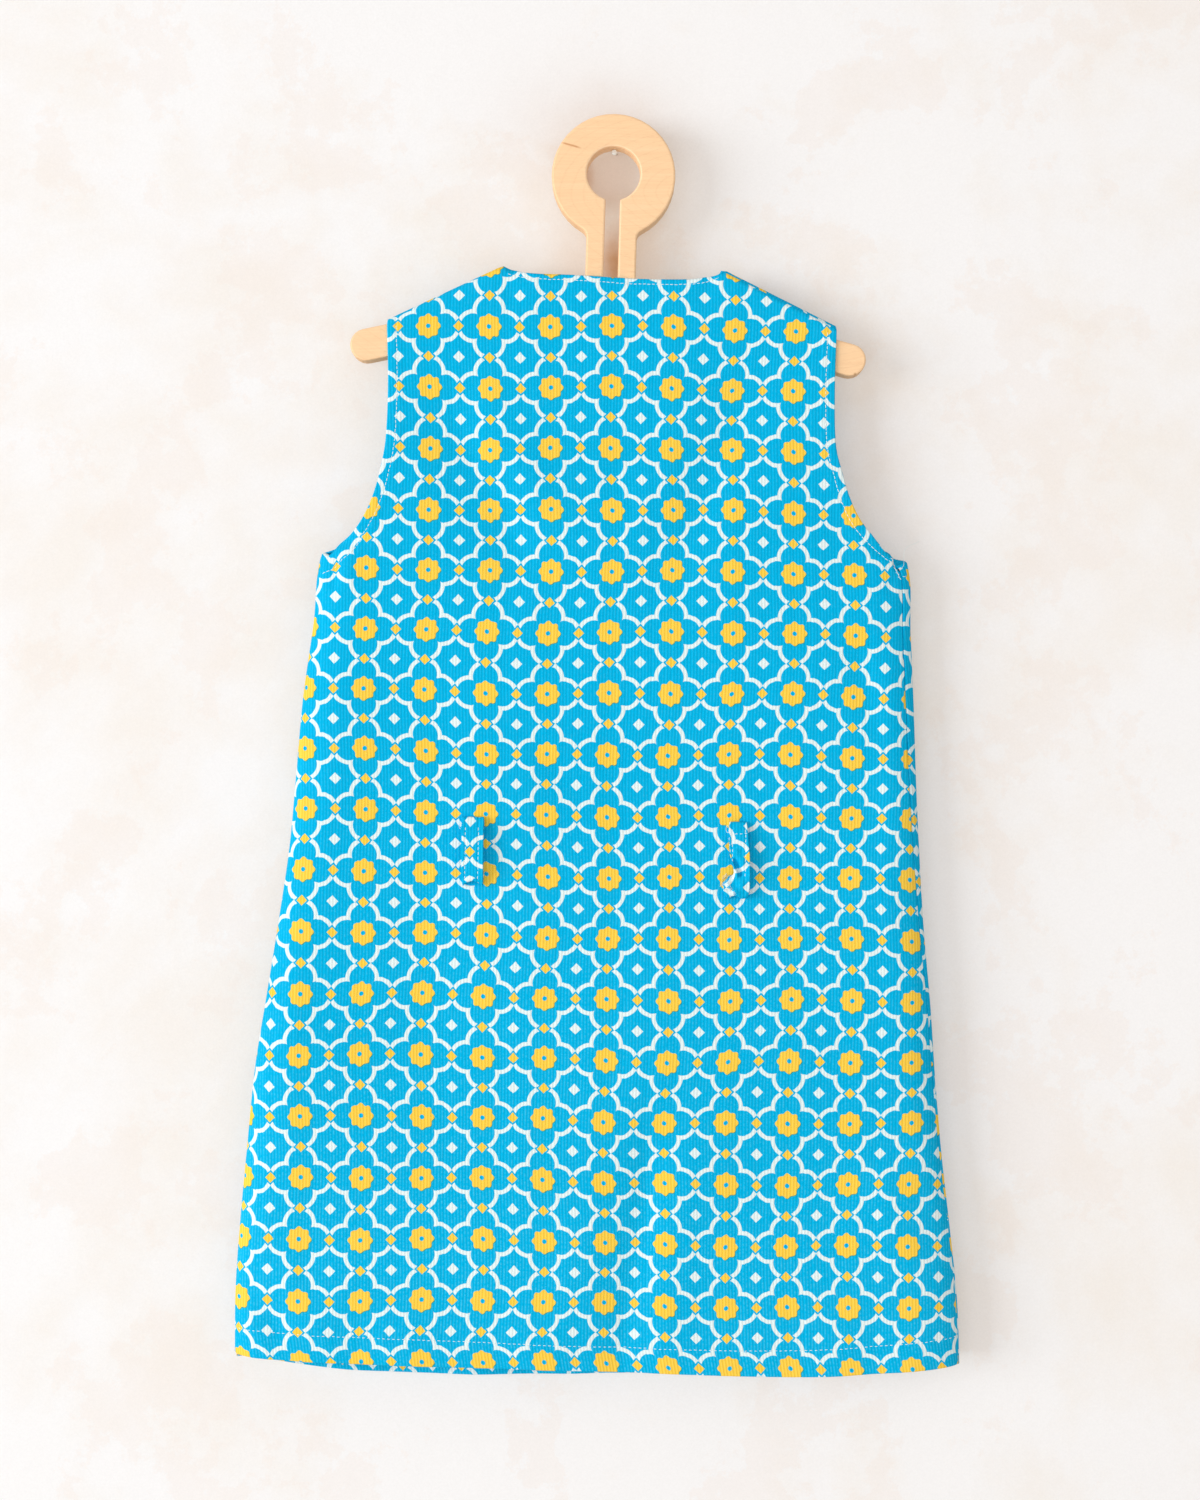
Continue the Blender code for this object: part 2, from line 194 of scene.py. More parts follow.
def cell_distance(value):
    """How far a place is from the nearest whole number, 0 to 0.5."""
    return value.maths("PINGPONG", value, 0.5)


def printed_cotton(name, wrong_side):
    """The cloth's right side or its wrong one, placed by the cut's own measures."""
    material, start = new_material(name)
    cut = start.node("ShaderNodeAttribute", {"attribute_name": "cut"}, {}, output="Vector")
    u, v, stitch = cut.parts()

    # Ribs, each printed a little higher or lower than the next
    rib = u / RIB
    number = rib.maths("FLOOR", rib)
    chance = number.node("ShaderNodeTexWhiteNoise", {"noise_dimensions": "1D"}, {"W": number})
    groove = 2 * cell_distance(rib + 0.5)
    deep = groove * groove * (3 - 2 * groove)
    weft = 2 * cell_distance(v / WEFT + 3 * chance)
    slub = u.place(u * 1400, v * 620).noise(2, dimensions="2D")
    worn = u.place(u * 9, v * 7).noise(3, dimensions="2D")

    # Pale dashes along the tops of the ribs, where the ink is thin, more of them towards the hem
    dashes = u.place(number * 7.3, v * 760).noise(1, dimensions="2D")
    ridge = (1 - 3 * cell_distance(rib + 0.46)).larger(0)
    thin_ink = (0.58 - dashes - 0.15 * (worn - 0.5)).within(0.45)
    dash_share = 0.09 + 0.18 * (v / 0.3 + 1.5).within(1)
    ground = (dash_share * thin_ink * ridge).blend(BLUE, PALE_DASH)
    # Painted highlight: the yellow is lighter along the tops of the ribs
    yellow_with_lit_ridges = (0.6 * ridge).blend(YELLOW, YELLOW_RIDGE_HIGHLIGHT)

    # The print, in shares of its repeat
    high = v + (chance - 0.5) * 0.00034 + (slub - 0.5) * 0.00022
    soft = PRINT_SOFT / REPEAT
    a = cell_distance(u / REPEAT)
    b = cell_distance(high / REPEAT)
    more = a.larger(b)
    less = a.maths("MINIMUM", a, b)
    touch = (0.5 - more) + less
    corner = (0.5 - a) + (0.5 - b)
    lobes = (more - LOBE_MIDDLE).reach(less) - LOBE
    band = (abs(lobes) - BAND_HALF / REPEAT).within(soft) * (BAND_END - touch).within(soft)
    white = band.larger((corner - WHITE_MARK).within(soft))

    def rosette(shift_u, shift_v):
        a = cell_distance((u - shift_u) / REPEAT)
        b = cell_distance((high - shift_v) / REPEAT)
        scallops = a.maths("COSINE", SCALLOPS * b.maths("ARCTAN2", b, a))
        return (a.reach(b) - ROSETTE * (1 + SCALLOP_DEPTH * scallops)).within(soft)

    yellow = rosette(0, 0).larger((touch - LOZENGE).within(soft))
    color = white.blend(ground, WHITE)
    color = rosette(*SLIPPED_INK).blend(color, OVERLAP_GREEN)
    color = yellow.blend(color, yellow_with_lit_ridges)
    color = (a.reach(b) - FLOWER_EYE / REPEAT).within(soft).blend(color, ground)

    if wrong_side:
        color = (0.55 + 0.12 * chance).blend(color, WRONG_SIDE)
    # Painted shade: the colour is darker in the rib grooves. The weft lines, wear and each rib's
    # chance also change the tone.
    shade = (1.015 - 0.13 * deep - 0.03 * weft) * (0.95 + 0.10 * worn) * (0.97 + 0.06 * chance)

    # Relief: ribs, threads, and the dip and puckers along a row of stitches
    dip = (stitch / 0.0011).bell()
    pucker = (stitch / 0.0032).bell() * u.place(u * 230, v * 210).noise(1, dimensions="2D")
    threads = slub * 0.00006 - weft * 0.00003
    height = threads - deep * 0.00012 - dip * 0.00022 + pucker * 0.0006
    finish_material(
        start,
        {
            "Base Color": shade.tinted(color),
            "Roughness": 0.82 + 0.12 * deep,
            "Normal": height.relief(0.8, 1),
            "Specular IOR Level": 0.06,
        },
    )
    return material


right_side = printed_cotton("printed_cotton_right_side", False)
wrong_side = printed_cotton("printed_cotton_wrong_side", True)


# ---------------------------------------------------------------------------
# Back and front: one piece of cloth each, from the hem to the shoulders, sewn together down the
# sides and over the shoulders. The hem is turned up inside, the neckline and armholes are turned
# in, and all three are topstitched. Over the hanger's arms the cloth folds.

BACK, FRONT = -1, 1  # the side of the dress, as the sign of Y
HEM_COLUMN = {BACK: 1, FRONT: 2}
WALL = 0.0012  # the wall of the frame that the cloth follows
CLOTH = 0.0007
ROLL = 0.00038  # the radius at which the middle of the cloth turns at a fold
EDGE = ROLL + CLOTH / 2 + 0.00003
ARMPIT_Z = -0.2215
SHOULDER_TIP_Z = -0.0945
NECK_TIP_Z = -0.0645
NECK_HALF = 0.0594
NECK_DROP = {BACK: 0.0064, FRONT: 0.0500}
NECK_SQUARENESS = {BACK: 8, FRONT: 2.4}
SIDE_FOLD = 0.0220
TOP_FOLD = 0.0045
NECK_SPREAD = 0.0110
ARMHOLE_SPREAD = 0.0150
TROUGH_INSET = 0.08
OVER_ARM = 1.25  # the way over the arm, as a share of a round one
SHOULDER_SEAM = (-12, 58)  # degrees up from the back, at the left and right shoulders
RING_STEPS = 16

# The outline at each height: z, left, right, half the depth
LEVELS = (
    (-0.6600, 0.1953, 0.1974, 0.0100),
    (-0.6200, 0.1955, 0.1953, 0.0100),
    (-0.5800, 0.1933, 0.1906, 0.0100),
    (-0.5400, 0.1902, 0.1855, 0.0100),
    (-0.5000, 0.1868, 0.1816, 0.0099),
    (-0.4600, 0.1810, 0.1783, 0.0098),
    (-0.4200, 0.1752, 0.1742, 0.0096),
    (-0.3800, 0.1700, 0.1712, 0.0093),
    (-0.3400, 0.1670, 0.1688, 0.0089),
    (-0.3000, 0.1640, 0.1669, 0.0085),
    (-0.2600, 0.1590, 0.1646, 0.0081),
    (-0.2215, 0.1550, 0.1622, 0.0076),
    (-0.2175, 0.1465, 0.1540, 0.0075),
    (-0.2100, 0.1375, 0.1444, 0.0074),
    (-0.2000, 0.1312, 0.1358, 0.0073),
    (-0.1880, 0.1265, 0.1299, 0.0072),
    (-0.1750, 0.1233, 0.1258, 0.0070),
    (-0.1600, 0.1209, 0.1220, 0.0068),
    (-0.1300, 0.1201, 0.1209, 0.0065),
    (-0.0945, 0.1213, 0.1215, 0.0064),
)
LEFT_TIP, RIGHT_TIP = LEVELS[-1][1:3]

# The hems from left to right: x, the back's height, the front's, and how far above them the
# stitches are
HEMS = (
    (-0.1960, -0.6548, -0.6580, 0.0146),
    (-0.1500, -0.6572, -0.6655, 0.0145),
    (-0.0900, -0.6586, -0.6678, 0.0145),
    (-0.0200, -0.6596, -0.6670, 0.0136),
    (0.0500, -0.6606, -0.6645, 0.0136),
    (0.1100, -0.6612, -0.6625, 0.0146),
    (0.1550, -0.6584, -0.6592, 0.0152),
    (0.1980, -0.6545, -0.6550, 0.0158),
)

# How far the side seams lie from the outline: z, left, right
SEAMS = (
    (-0.6600, 0.0002, 0.0004),
    (-0.5400, 0.0002, 0.0012),
    (-0.4200, 0.0002, 0.0025),
    (-0.3300, 0.0002, 0.0042),
    (-0.2215, 0.0002, 0.0046),
)

# The large soft folds: side, the ends, half the width, the depth
TROUGHS = (
    (BACK, -0.104, -0.122, -0.034, -0.250, 0.017, 0.0016),
    (BACK, 0.086, -0.090, 0.020, -0.275, 0.022, 0.0013),
    (BACK, 0.036, -0.490, 0.006, -0.700, 0.013, 0.0020),
    (BACK, 0.128, -0.245, 0.156, -0.400, 0.018, 0.0014),
    (BACK, -0.108, -0.240, -0.102, -0.560, 0.028, 0.0009),
    (BACK, -0.196, -0.600, -0.164, -0.650, 0.014, 0.0012),
    (FRONT, 0.100, -0.118, 0.040, -0.260, 0.019, 0.0014),
    (FRONT, -0.090, -0.110, -0.030, -0.270, 0.021, 0.0012),
    (FRONT, -0.052, -0.470, -0.066, -0.700, 0.016, 0.0019),
    (FRONT, 0.070, -0.520, 0.088, -0.700, 0.018, 0.0015),
    (FRONT, 0.012, -0.260, 0.004, -0.480, 0.030, 0.0010),
)

# Smaller creases, laid on those: the same columns, below zero where a ridge stands up
CREASES = (
    (BACK, -0.092, -0.135, -0.038, -0.236, 0.0060, 0.0005),
    (BACK, -0.076, -0.118, -0.020, -0.225, 0.0110, -0.0008),
    (BACK, 0.074, -0.128, 0.036, -0.236, 0.0070, 0.0004),
    (BACK, 0.058, -0.108, 0.004, -0.240, 0.0120, -0.0006),
    (BACK, 0.030, -0.520, 0.010, -0.690, 0.0060, 0.0007),
    (BACK, 0.048, -0.530, 0.034, -0.690, 0.0110, -0.0008),
    (BACK, -0.010, -0.560, -0.018, -0.690, 0.0120, -0.0006),
    (BACK, -0.052, -0.306, -0.012, -0.352, 0.0060, 0.0005),
    (BACK, 0.134, -0.262, 0.150, -0.330, 0.0060, 0.0006),
    (BACK, 0.120, -0.250, 0.138, -0.350, 0.0110, -0.0006),
    (BACK, 0.160, -0.518, 0.182, -0.608, 0.0090, 0.0007),
    (BACK, 0.150, -0.540, 0.166, -0.620, 0.0100, -0.0005),
    (BACK, -0.190, -0.610, -0.172, -0.644, 0.0050, 0.0005),
    (BACK, -0.176, -0.600, -0.150, -0.650, 0.0080, -0.0005),
    (BACK, -0.1450, -0.2165, -0.1484, -0.2450, 0.0030, 0.0012),
    (BACK, -0.1390, -0.2200, -0.1420, -0.2440, 0.0050, -0.0006),
    (BACK, 0.1600, -0.2230, 0.1500, -0.2400, 0.0032, 0.0008),
    (BACK, 0.0560, -0.0700, 0.0450, -0.0860, 0.0040, 0.0005),
    (BACK, -0.0580, -0.0720, -0.0500, -0.0900, 0.0050, 0.0004),
    (BACK, -0.120, -0.380, -0.116, -0.500, 0.0140, -0.0005),
    (BACK, 0.094, -0.390, 0.112, -0.470, 0.0120, 0.0004),
    (FRONT, 0.092, -0.130, 0.046, -0.246, 0.0070, 0.0005),
    (FRONT, 0.072, -0.126, 0.026, -0.236, 0.0120, -0.0007),
    (FRONT, -0.084, -0.126, -0.036, -0.250, 0.0080, 0.0004),
    (FRONT, -0.060, -0.520, -0.066, -0.690, 0.0070, 0.0007),
    (FRONT, -0.080, -0.540, -0.090, -0.690, 0.0110, -0.0007),
    (FRONT, 0.078, -0.560, 0.086, -0.690, 0.0070, 0.0006),
    (FRONT, -0.130, -0.250, -0.150, -0.350, 0.0100, 0.0006),
    (FRONT, 0.132, -0.255, 0.150, -0.340, 0.0110, 0.0005),
    (FRONT, 0.150, -0.520, 0.168, -0.610, 0.0100, 0.0006),
    (FRONT, -0.020, -0.300, 0.014, -0.350, 0.0080, 0.0005),
    (FRONT, 0.1480, -0.2200, 0.1420, -0.2400, 0.0036, 0.0009),
    (FRONT, -0.1540, -0.2200, -0.1470, -0.2400, 0.0036, 0.0009),
)


def mix(a, b, t):
    return a + (b - a) * t


def smooth(t):
    t = np.clip(t, 0, 1)
    return t * t * (3 - 2 * t)


def unit(vectors):
    return vectors / np.linalg.norm(vectors, axis=-1, keepdims=True)


def read(table, column, at):
    """A column of a table at any places on its first one, on the smooth curve through its rows."""
    keys = np.array([row[0] for row in table])
    values = np.array([row[column] for row in table])
    last = len(keys) - 1
    rows = np.arange(last + 1)
    low, high = np.maximum(rows - 1, 0), np.minimum(rows + 1, last)
    slopes = (values[high] - values[low]) / (keys[high] - keys[low])
    at = np.clip(at, keys[0], keys[last])
    i = np.clip(np.searchsorted(keys, at, side="right") - 1, 0, last - 1)
    span = keys[i + 1] - keys[i]
    t = (at - keys[i]) / span
    bend = slopes[i] * (t - 2 * t**2 + t**3) + slopes[i + 1] * (t**3 - t**2)
    return values[i] + (values[i + 1] - values[i]) * t * t * (3 - 2 * t) + span * bend


def away_from_sides(across, width):
    """0 at both sides of a panel and 1 past a share of its width."""
    return smooth(np.minimum(across, 1 - across) / width)


def fold_depth(table, side, x, z):
    """How far the folds of a table sink the cloth at each point."""
    total = np.zeros_like(x)
    for fold_side, x0, z0, x1, z1, width, depth in table:
        if fold_side != side:
            continue
        run_x, run_z = x1 - x0, z1 - z0
        length = math.hypot(run_x, run_z)
        t = ((x - x0) * run_x + (z - z0) * run_z) / length**2
        off = ((x - x0) * run_z - (z - z0) * run_x) / length
        total += depth * smooth(t / 0.3) * smooth((1 - t) / 0.3) * np.exp(-((off / width) ** 2))
    return total


def top_line(side, x):
    """The height of the shoulder or neckline edge above each point of the shoulders' width."""
    tip = np.where(x > 0, RIGHT_TIP, LEFT_TIP)
    slope = mix(NECK_TIP_Z, SHOULDER_TIP_Z, (abs(x) - NECK_HALF) / (tip - NECK_HALF))
    across = np.minimum(abs(x) / NECK_HALF, 1)
    pulled_up = 0.0018 * smooth((0.020 - x) / 0.050) if side == BACK else 0
    neck = NECK_TIP_Z - (NECK_DROP[side] - pulled_up) * (1 - across ** NECK_SQUARENESS[side])
    return np.where(abs(x) >= NECK_HALF, slope, neck) - WALL / 2


def round_the_side(side, level, share):
    """Points on the dress's closed section: x, y, the measure across the cloth, and its width."""
    left = read(LEVELS, 1, level) - WALL / 2
    right = read(LEVELS, 2, level) - WALL / 2
    depth = read(LEVELS, 3, level)
    left_seam, right_seam = (np.arccos(1 - read(SEAMS, k, level) / SIDE_FOLD) for k in (1, 2))
    steps = np.arange(RING_STEPS + 1) / RING_STEPS
    none = np.zeros_like(level)
    quarter = none + math.pi / 2
    edge, seam, inward, far, far_seam = -left, left_seam, 1, right, right_seam
    if side == FRONT:
        edge, seam, inward, far, far_seam = right, right_seam, -1, -left, left_seam

    def turn(at, way, start, end, face):
        angle = start[:, None] + (end - start)[:, None] * steps
        x = at[:, None] + way * SIDE_FOLD * (1 - np.cos(angle))
        return np.stack([x, face * depth[:, None] * np.sin(angle)], axis=-1)

    ring = [turn(edge, inward, seam, none, -side), turn(edge, inward, none, quarter, side)[:, 1:]]
    ring.append(turn(far, -inward, quarter, far_seam, side))
    ring = np.concatenate(ring, axis=1)
    lengths = np.linalg.norm(np.diff(ring, axis=1), axis=-1)
    ends = np.cumsum(lengths, axis=1)
    goal = share * ends[:, -1]
    i = np.minimum((goal[:, None] > ends).sum(axis=1), lengths.shape[1] - 1)
    row = np.arange(len(level))
    t = 1 - (ends[row, i] - goal) / lengths[row, i]
    x, y = mix(ring[row, i], ring[row, i + 1], t[:, None]).T
    measure = goal - ends[:, 2 * RING_STEPS - 1] + inward * edge + SIDE_FOLD
    return x, y, measure, ends[:, -1]


def panel_surface(side, across, up):
    """Points on the middle of a panel, the measures of its cut there, and its width.

    across runs from 0 at its left edge to 1 at its right; up runs from 0 at the hem to 1 at the
    armpit, 2 where the shoulder fold starts and 3 at the shoulder seam or neckline.
    """
    across, up = across.ravel(), up.ravel()
    chest = np.clip(up - 1, 0, 1)
    x_top = mix(-LEFT_TIP, RIGHT_TIP, across)
    hem_z = read(HEMS, HEM_COLUMN[side], mix(-HEMS[-1][0], HEMS[-1][0], across))
    below = mix(hem_z, ARMPIT_Z, up)
    top = top_line(side, x_top)
    level = np.where(up <= 1, below, mix(ARMPIT_Z, SHOULDER_TIP_Z - TOP_FOLD, chest))
    z = np.where(up <= 1, below, mix(ARMPIT_Z, top - TOP_FOLD, chest))
    x, y, measure, width = round_the_side(side, level, across if side == BACK else 1 - across)

    opened = smooth((level - ARMPIT_Z) / ARMHOLE_SPREAD)
    left, right = read(LEVELS, 1, level), read(LEVELS, 2, level)
    x_open = mix(-left, right, across)
    x = mix(x, x_open, opened)
    measure = mix(measure, -side * x_open, opened)
    y = mix(y, side * read(LEVELS, 3, level), opened)
    width = mix(width, left + right, opened)
    y = y - side * away_from_sides(across, TROUGH_INSET) * fold_depth(TROUGHS, side, x, z)

    over = np.clip(up - 2, 0, 1)
    rolled = smooth((abs(x_top) - NECK_HALF + NECK_SPREAD) / NECK_SPREAD)
    seam = np.radians(np.where(x_top > 0, SHOULDER_SEAM[1], SHOULDER_SEAM[0])) * -side
    angle = mix(math.pi / 2, seam, over)
    length_over = over * TOP_FOLD * mix(1, OVER_ARM * (math.pi / 2 - seam), rolled)
    v = np.where(up > 2, top - TOP_FOLD + length_over, z)
    z_over = mix(top + TOP_FOLD * (over - 1), top - TOP_FOLD * (1 - np.cos(angle)), rolled)
    z = np.where(up > 2, z_over, z)
    y = np.where(up > 2, mix(y, y * np.sin(angle), rolled), y)
    return np.stack([x, y, z], axis=-1), np.stack([measure, v], axis=-1), width


def way_out(side, points):
    """The direction out of the dress at every point of a grid."""
    rise = np.gradient(points, axis=0)
    over = np.gradient(points, axis=1)
    return unit(np.cross(over, rise) * -side)


def along_lines(values, distances, at):
    """The values of each line of a grid at a distance from its first point."""
    _, columns, parts = values.shape
    return np.array(
        [
            [np.interp(at[c], distances[:, c], values[:, c, k]) for k in range(parts)]
            for c in range(columns)
        ]
    )


def turned_edge(points, normals, cut, turn, width, stitch):
    """The cloth past the first line of a grid: rolled under by an angle, then flat inside it.

    turn and width hold, for each column, the angle of the roll and how far the cloth goes on.
    """
    edge, out, normal = points[0], unit(points[0] - points[1]), normals[0]
    steps = np.linalg.norm(np.diff(points, axis=0), axis=-1)
    distances = np.concatenate([np.zeros_like(steps[:1]), np.cumsum(steps, axis=0)])
    pace = (cut[0] - cut[1]) / steps[0][:, None]
    rows, cuts = [], []

    def rolled_by(angle):
        angle = angle[:, None]
        return edge + out * ROLL * np.sin(angle) - normal * ROLL * (1 - np.cos(angle))

    for k in range(1, 5):
        rows.append(rolled_by(turn * k / 4))
        cuts.append(cut[0] + pace * (ROLL * turn * k / 4)[:, None])
    tangent = out * np.cos(turn)[:, None] - normal * np.sin(turn)[:, None]
    flat = smooth((turn - math.pi / 2) / (math.pi / 2))[:, None]
    for share in (0.06, 0.35, 0.7, 1):
        reach = width * share
        inner = along_lines(points, distances, reach)
        inner = inner - 2 * ROLL * along_lines(normals, distances, reach)
        rows.append(mix(rows[3] + tangent * reach[:, None], inner, flat))
        place = cut[0] + pace * (ROLL * math.pi + reach)[:, None]
        place[:, 2] = EDGE + reach - stitch
        cuts.append(place)
    return np.array(rows[::-1]), np.array(cuts[::-1])


def line_distance(x, z, line):
    """How far points are from a line of (x, z) points."""
    nearest = np.full(x.shape, 1.0)
    for (x0, z0), (x1, z1) in zip(line, line[1:]):
        run_x, run_z = x1 - x0, z1 - z0
        t = np.clip(((x - x0) * run_x + (z - z0) * run_z) / (run_x**2 + run_z**2), 0, 1)
        nearest = np.minimum(nearest, np.hypot(x - x0 - t * run_x, z - z0 - t * run_z))
    return nearest


def armhole_edge(side_sign):
    """The armhole's edge from the armpit to the shoulder, on the left (-1) or the right (1)."""
    heights = [*np.linspace(ARMPIT_Z, -0.205, 16), *np.linspace(-0.202, SHOULDER_TIP_Z, 26)]
    column = 1 if side_sign < 0 else 2
    return [(side_sign * read(LEVELS, column, z), z) for z in heights]


def neck_edge(side):
    xs = np.linspace(-NECK_HALF, NECK_HALF, 61)
    return list(zip(xs, top_line(side, xs)))


# How far the stitches lie from the edges, and how far the cloth is turned in past its edges
ARMHOLE_STITCH = 0.0050
NECK_STITCH = 0.0031
HEM_STITCH = 0.0140
ARMHOLE_TURN_IN = 0.0062
NECK_TURN_IN = 0.0045
HEM_TURN_UP = 0.0152
PRESSED = 0.0001  # what is left of a turning where a seam takes over from it

# Where the cloth sags at the armpits: side, the middle, half the width, the depth
SAGS = (
    (BACK, -0.1502, 0.0030, 0.0038),
    (FRONT, 0.1558, 0.0046, 0.0018),
    (FRONT, -0.1500, 0.0050, 0.0010),
)

# The cloth's rows of points in the hem band, above the hem
HEM_ROWS = (EDGE, 0.0024, 0.0043, 0.0062, 0.0082, 0.0102, 0.0120, 0.0134, 0.0146, 0.0158)
HEM_ROWS_TOP = 0.0172


def ripples(side, x, z, hem_z):
    """Small uneven waves in the turned-up hem, as it was pulled by its stitches."""
    above = z - hem_z
    band = smooth((0.024 - above) / 0.012)
    shift = 0.7 if side == FRONT else 0
    slant = x + 0.5 * above
    small = np.sin(slant * 790 + 2.1 * np.sin(x * 61 + shift)) * 0.00009
    edge = np.sin(x * 117 + shift + 1.3 * np.sin(x * 41)) * 0.0005 * smooth((0.05 - above) / 0.05)
    return band * small + edge


def new_piece(name, bm, *materials):
    """A smooth piece with the shape of a bmesh, which is then freed."""
    mesh = bpy.data.meshes.new(name)
    bm.to_mesh(mesh)
    bm.free()
    mesh.shade_smooth()
    for material in materials:
        mesh.materials.append(material)
    piece = bpy.data.objects.new(name, mesh)
    scene.collection.objects.link(piece)
    return piece


def panel_grid(side):
    """Each point's place across and up a panel, and which of its columns end on a shoulder."""
    left_tip = (LEFT_TIP - NECK_HALF) / (LEFT_TIP + RIGHT_TIP)
    right_tip = (LEFT_TIP + NECK_HALF) / (LEFT_TIP + RIGHT_TIP)
    # Columns of points: closer together at the sides, even along the neckline
    outer = [mix(n / 40, (n / 40) ** 2, 0.75) for n in range(40)]
    shares = [left_tip * t for t in outer]
    shares += [mix(left_tip, right_tip, n / 56) for n in range(57)]
    shares += [1 - (1 - right_tip) * t for t in reversed(outer)]
    shares = np.array(shares)

    # Rows of points: in the hem band, up to the armpit, past its corner, up to the shoulder and
    # over it
    height = ARMPIT_Z - HEMS[0][1]
    heights = [row / height for row in HEM_ROWS]
    heights += [mix(HEM_ROWS_TOP / height, 1, n / 132) for n in range(133)]
    heights += [1 + 0.09 * n / 12 for n in range(1, 13)]
    heights += [1.09 + 0.91 * n / 36 for n in range(1, 37)]
    heights += [2 + n / 8 for n in range(1, 8)]
    heights.append(2.86)
    heights = np.array(heights)

    # Keep the same small distance from the edges at every height, for the roll of the cloth
    middle = np.full(len(heights), 0.5)
    width = panel_surface(side, middle, heights)[2]
    inset = (EDGE / width)[:, None]
    across = inset + (1 - 2 * inset) * shares
    up = np.repeat(heights[:, None], len(shares), axis=1)
    on_shoulder = smooth((abs(mix(-LEFT_TIP, RIGHT_TIP, shares)) - NECK_HALF + 0.004) / 0.004)
    up[-1] = mix(3 - EDGE / TOP_FOLD, 2.92, on_shoulder)
    return across, up, on_shoulder


def sag_at_armpits(side, points):
    """Moves the points of a panel at the armpits as its cloth hangs there.

    At the left one the back's edge sags below the front's. At the right one the back's corner
    pulls away from the seam, and the front's near edge, which wraps round to it, has slipped
    down.
    """
    x, y, z = points[..., 0], points[..., 1], points[..., 2]
    near_edge = smooth((z + 0.2400) / 0.016) * (z < -0.2)
    beside_corner = np.exp(-(((z + 0.2145) / 0.004) ** 2))
    x += 0.0010 * beside_corner * smooth((x - 0.1400) / 0.006)
    sagging = near_edge
    if side == FRONT:
        slipped = smooth((0.0010 - y) / 0.0020) * (0.0014 + 0.0030 * smooth((0.1608 - x) / 0.0045))
        z -= near_edge * smooth((x - 0.1520) / 0.003) * slipped
        sagging = near_edge * smooth((y + 0.0010) / 0.0020)
    for sag_side, sag_x, sag_width, depth in SAGS:
        if sag_side == side:
            z -= depth * sagging * np.exp(-(((x - sag_x) / sag_width) ** 2))
    if side == BACK:
        x -= 0.0036 * smooth((z + 0.2300) / 0.0085) * smooth((x - 0.1525) / 0.0045)


def cut_measures(side, points, cut, stitch_z):
    """The cut's measures: across, down, and the distance from the nearest row of stitches."""
    x, z = points[..., 0], points[..., 2]
    stitch = z - stitch_z
    for sign in (-1, 1):
        stitch = np.minimum(stitch, line_distance(x, z, armhole_edge(sign)) - ARMHOLE_STITCH)
    stitch = np.minimum(stitch, line_distance(x, z, neck_edge(side)) - NECK_STITCH)
    # The grain hangs a little off the plumb line and waves slowly; it slants in the hem's band
    slanted = np.maximum(stitch_z - z, 0)
    wave_u = 0.0007 * np.sin(31 * z + 11 * x + side) + 0.0004 * np.sin(67 * z - 23 * x)
    wave_v = 0.0009 * np.sin(26 * x + 9 * z + side) + 0.0005 * np.sin(61 * x - 37 * z)
    measure = cut[..., 0] + wave_u + 0.006 * z - 0.158 * slanted
    return np.stack([measure, cut[..., 1] + wave_v, stitch], axis=-1)


def turned_sides(side, points, cut, first, last):
    """The grid with the armholes turned in and the side seams pressed open, between two rows."""
    normals = way_out(side, points)
    row_z = points[:, 0, 2]
    inside = np.zeros(len(points), dtype=bool)
    inside[first:last] = True
    rise = np.zeros(len(points))
    rise[inside] = smooth((row_z[inside] - row_z[first] - 0.018) / 0.008)
    rise[inside] *= smooth((SHOULDER_TIP_Z - 0.006 - row_z[inside]) / 0.006)
    turn = np.where(inside, math.pi / 2 * (1 + rise), 0.05)
    near_armpit = np.exp(-(((row_z - ARMPIT_Z) / 0.006) ** 2))
    reach = PRESSED + ARMHOLE_TURN_IN * rise * (1 - 0.6 * near_armpit)
    # One side, then the other one from the mirrored grid, which is mirrored back
    for _ in range(2):
        swap = [np.swapaxes(grid, 0, 1) for grid in (points, normals, cut)]
        rows, places = turned_edge(*swap, turn, reach, ARMHOLE_STITCH)
        points = np.concatenate([np.swapaxes(rows, 0, 1), points], axis=1)
        cut = np.concatenate([np.swapaxes(places, 0, 1), cut], axis=1)
        normals = np.concatenate([np.repeat(normals[:, :1], len(rows), axis=1), normals], axis=1)
        points, cut, normals = points[:, ::-1], cut[:, ::-1], normals[:, ::-1]
    return points, cut


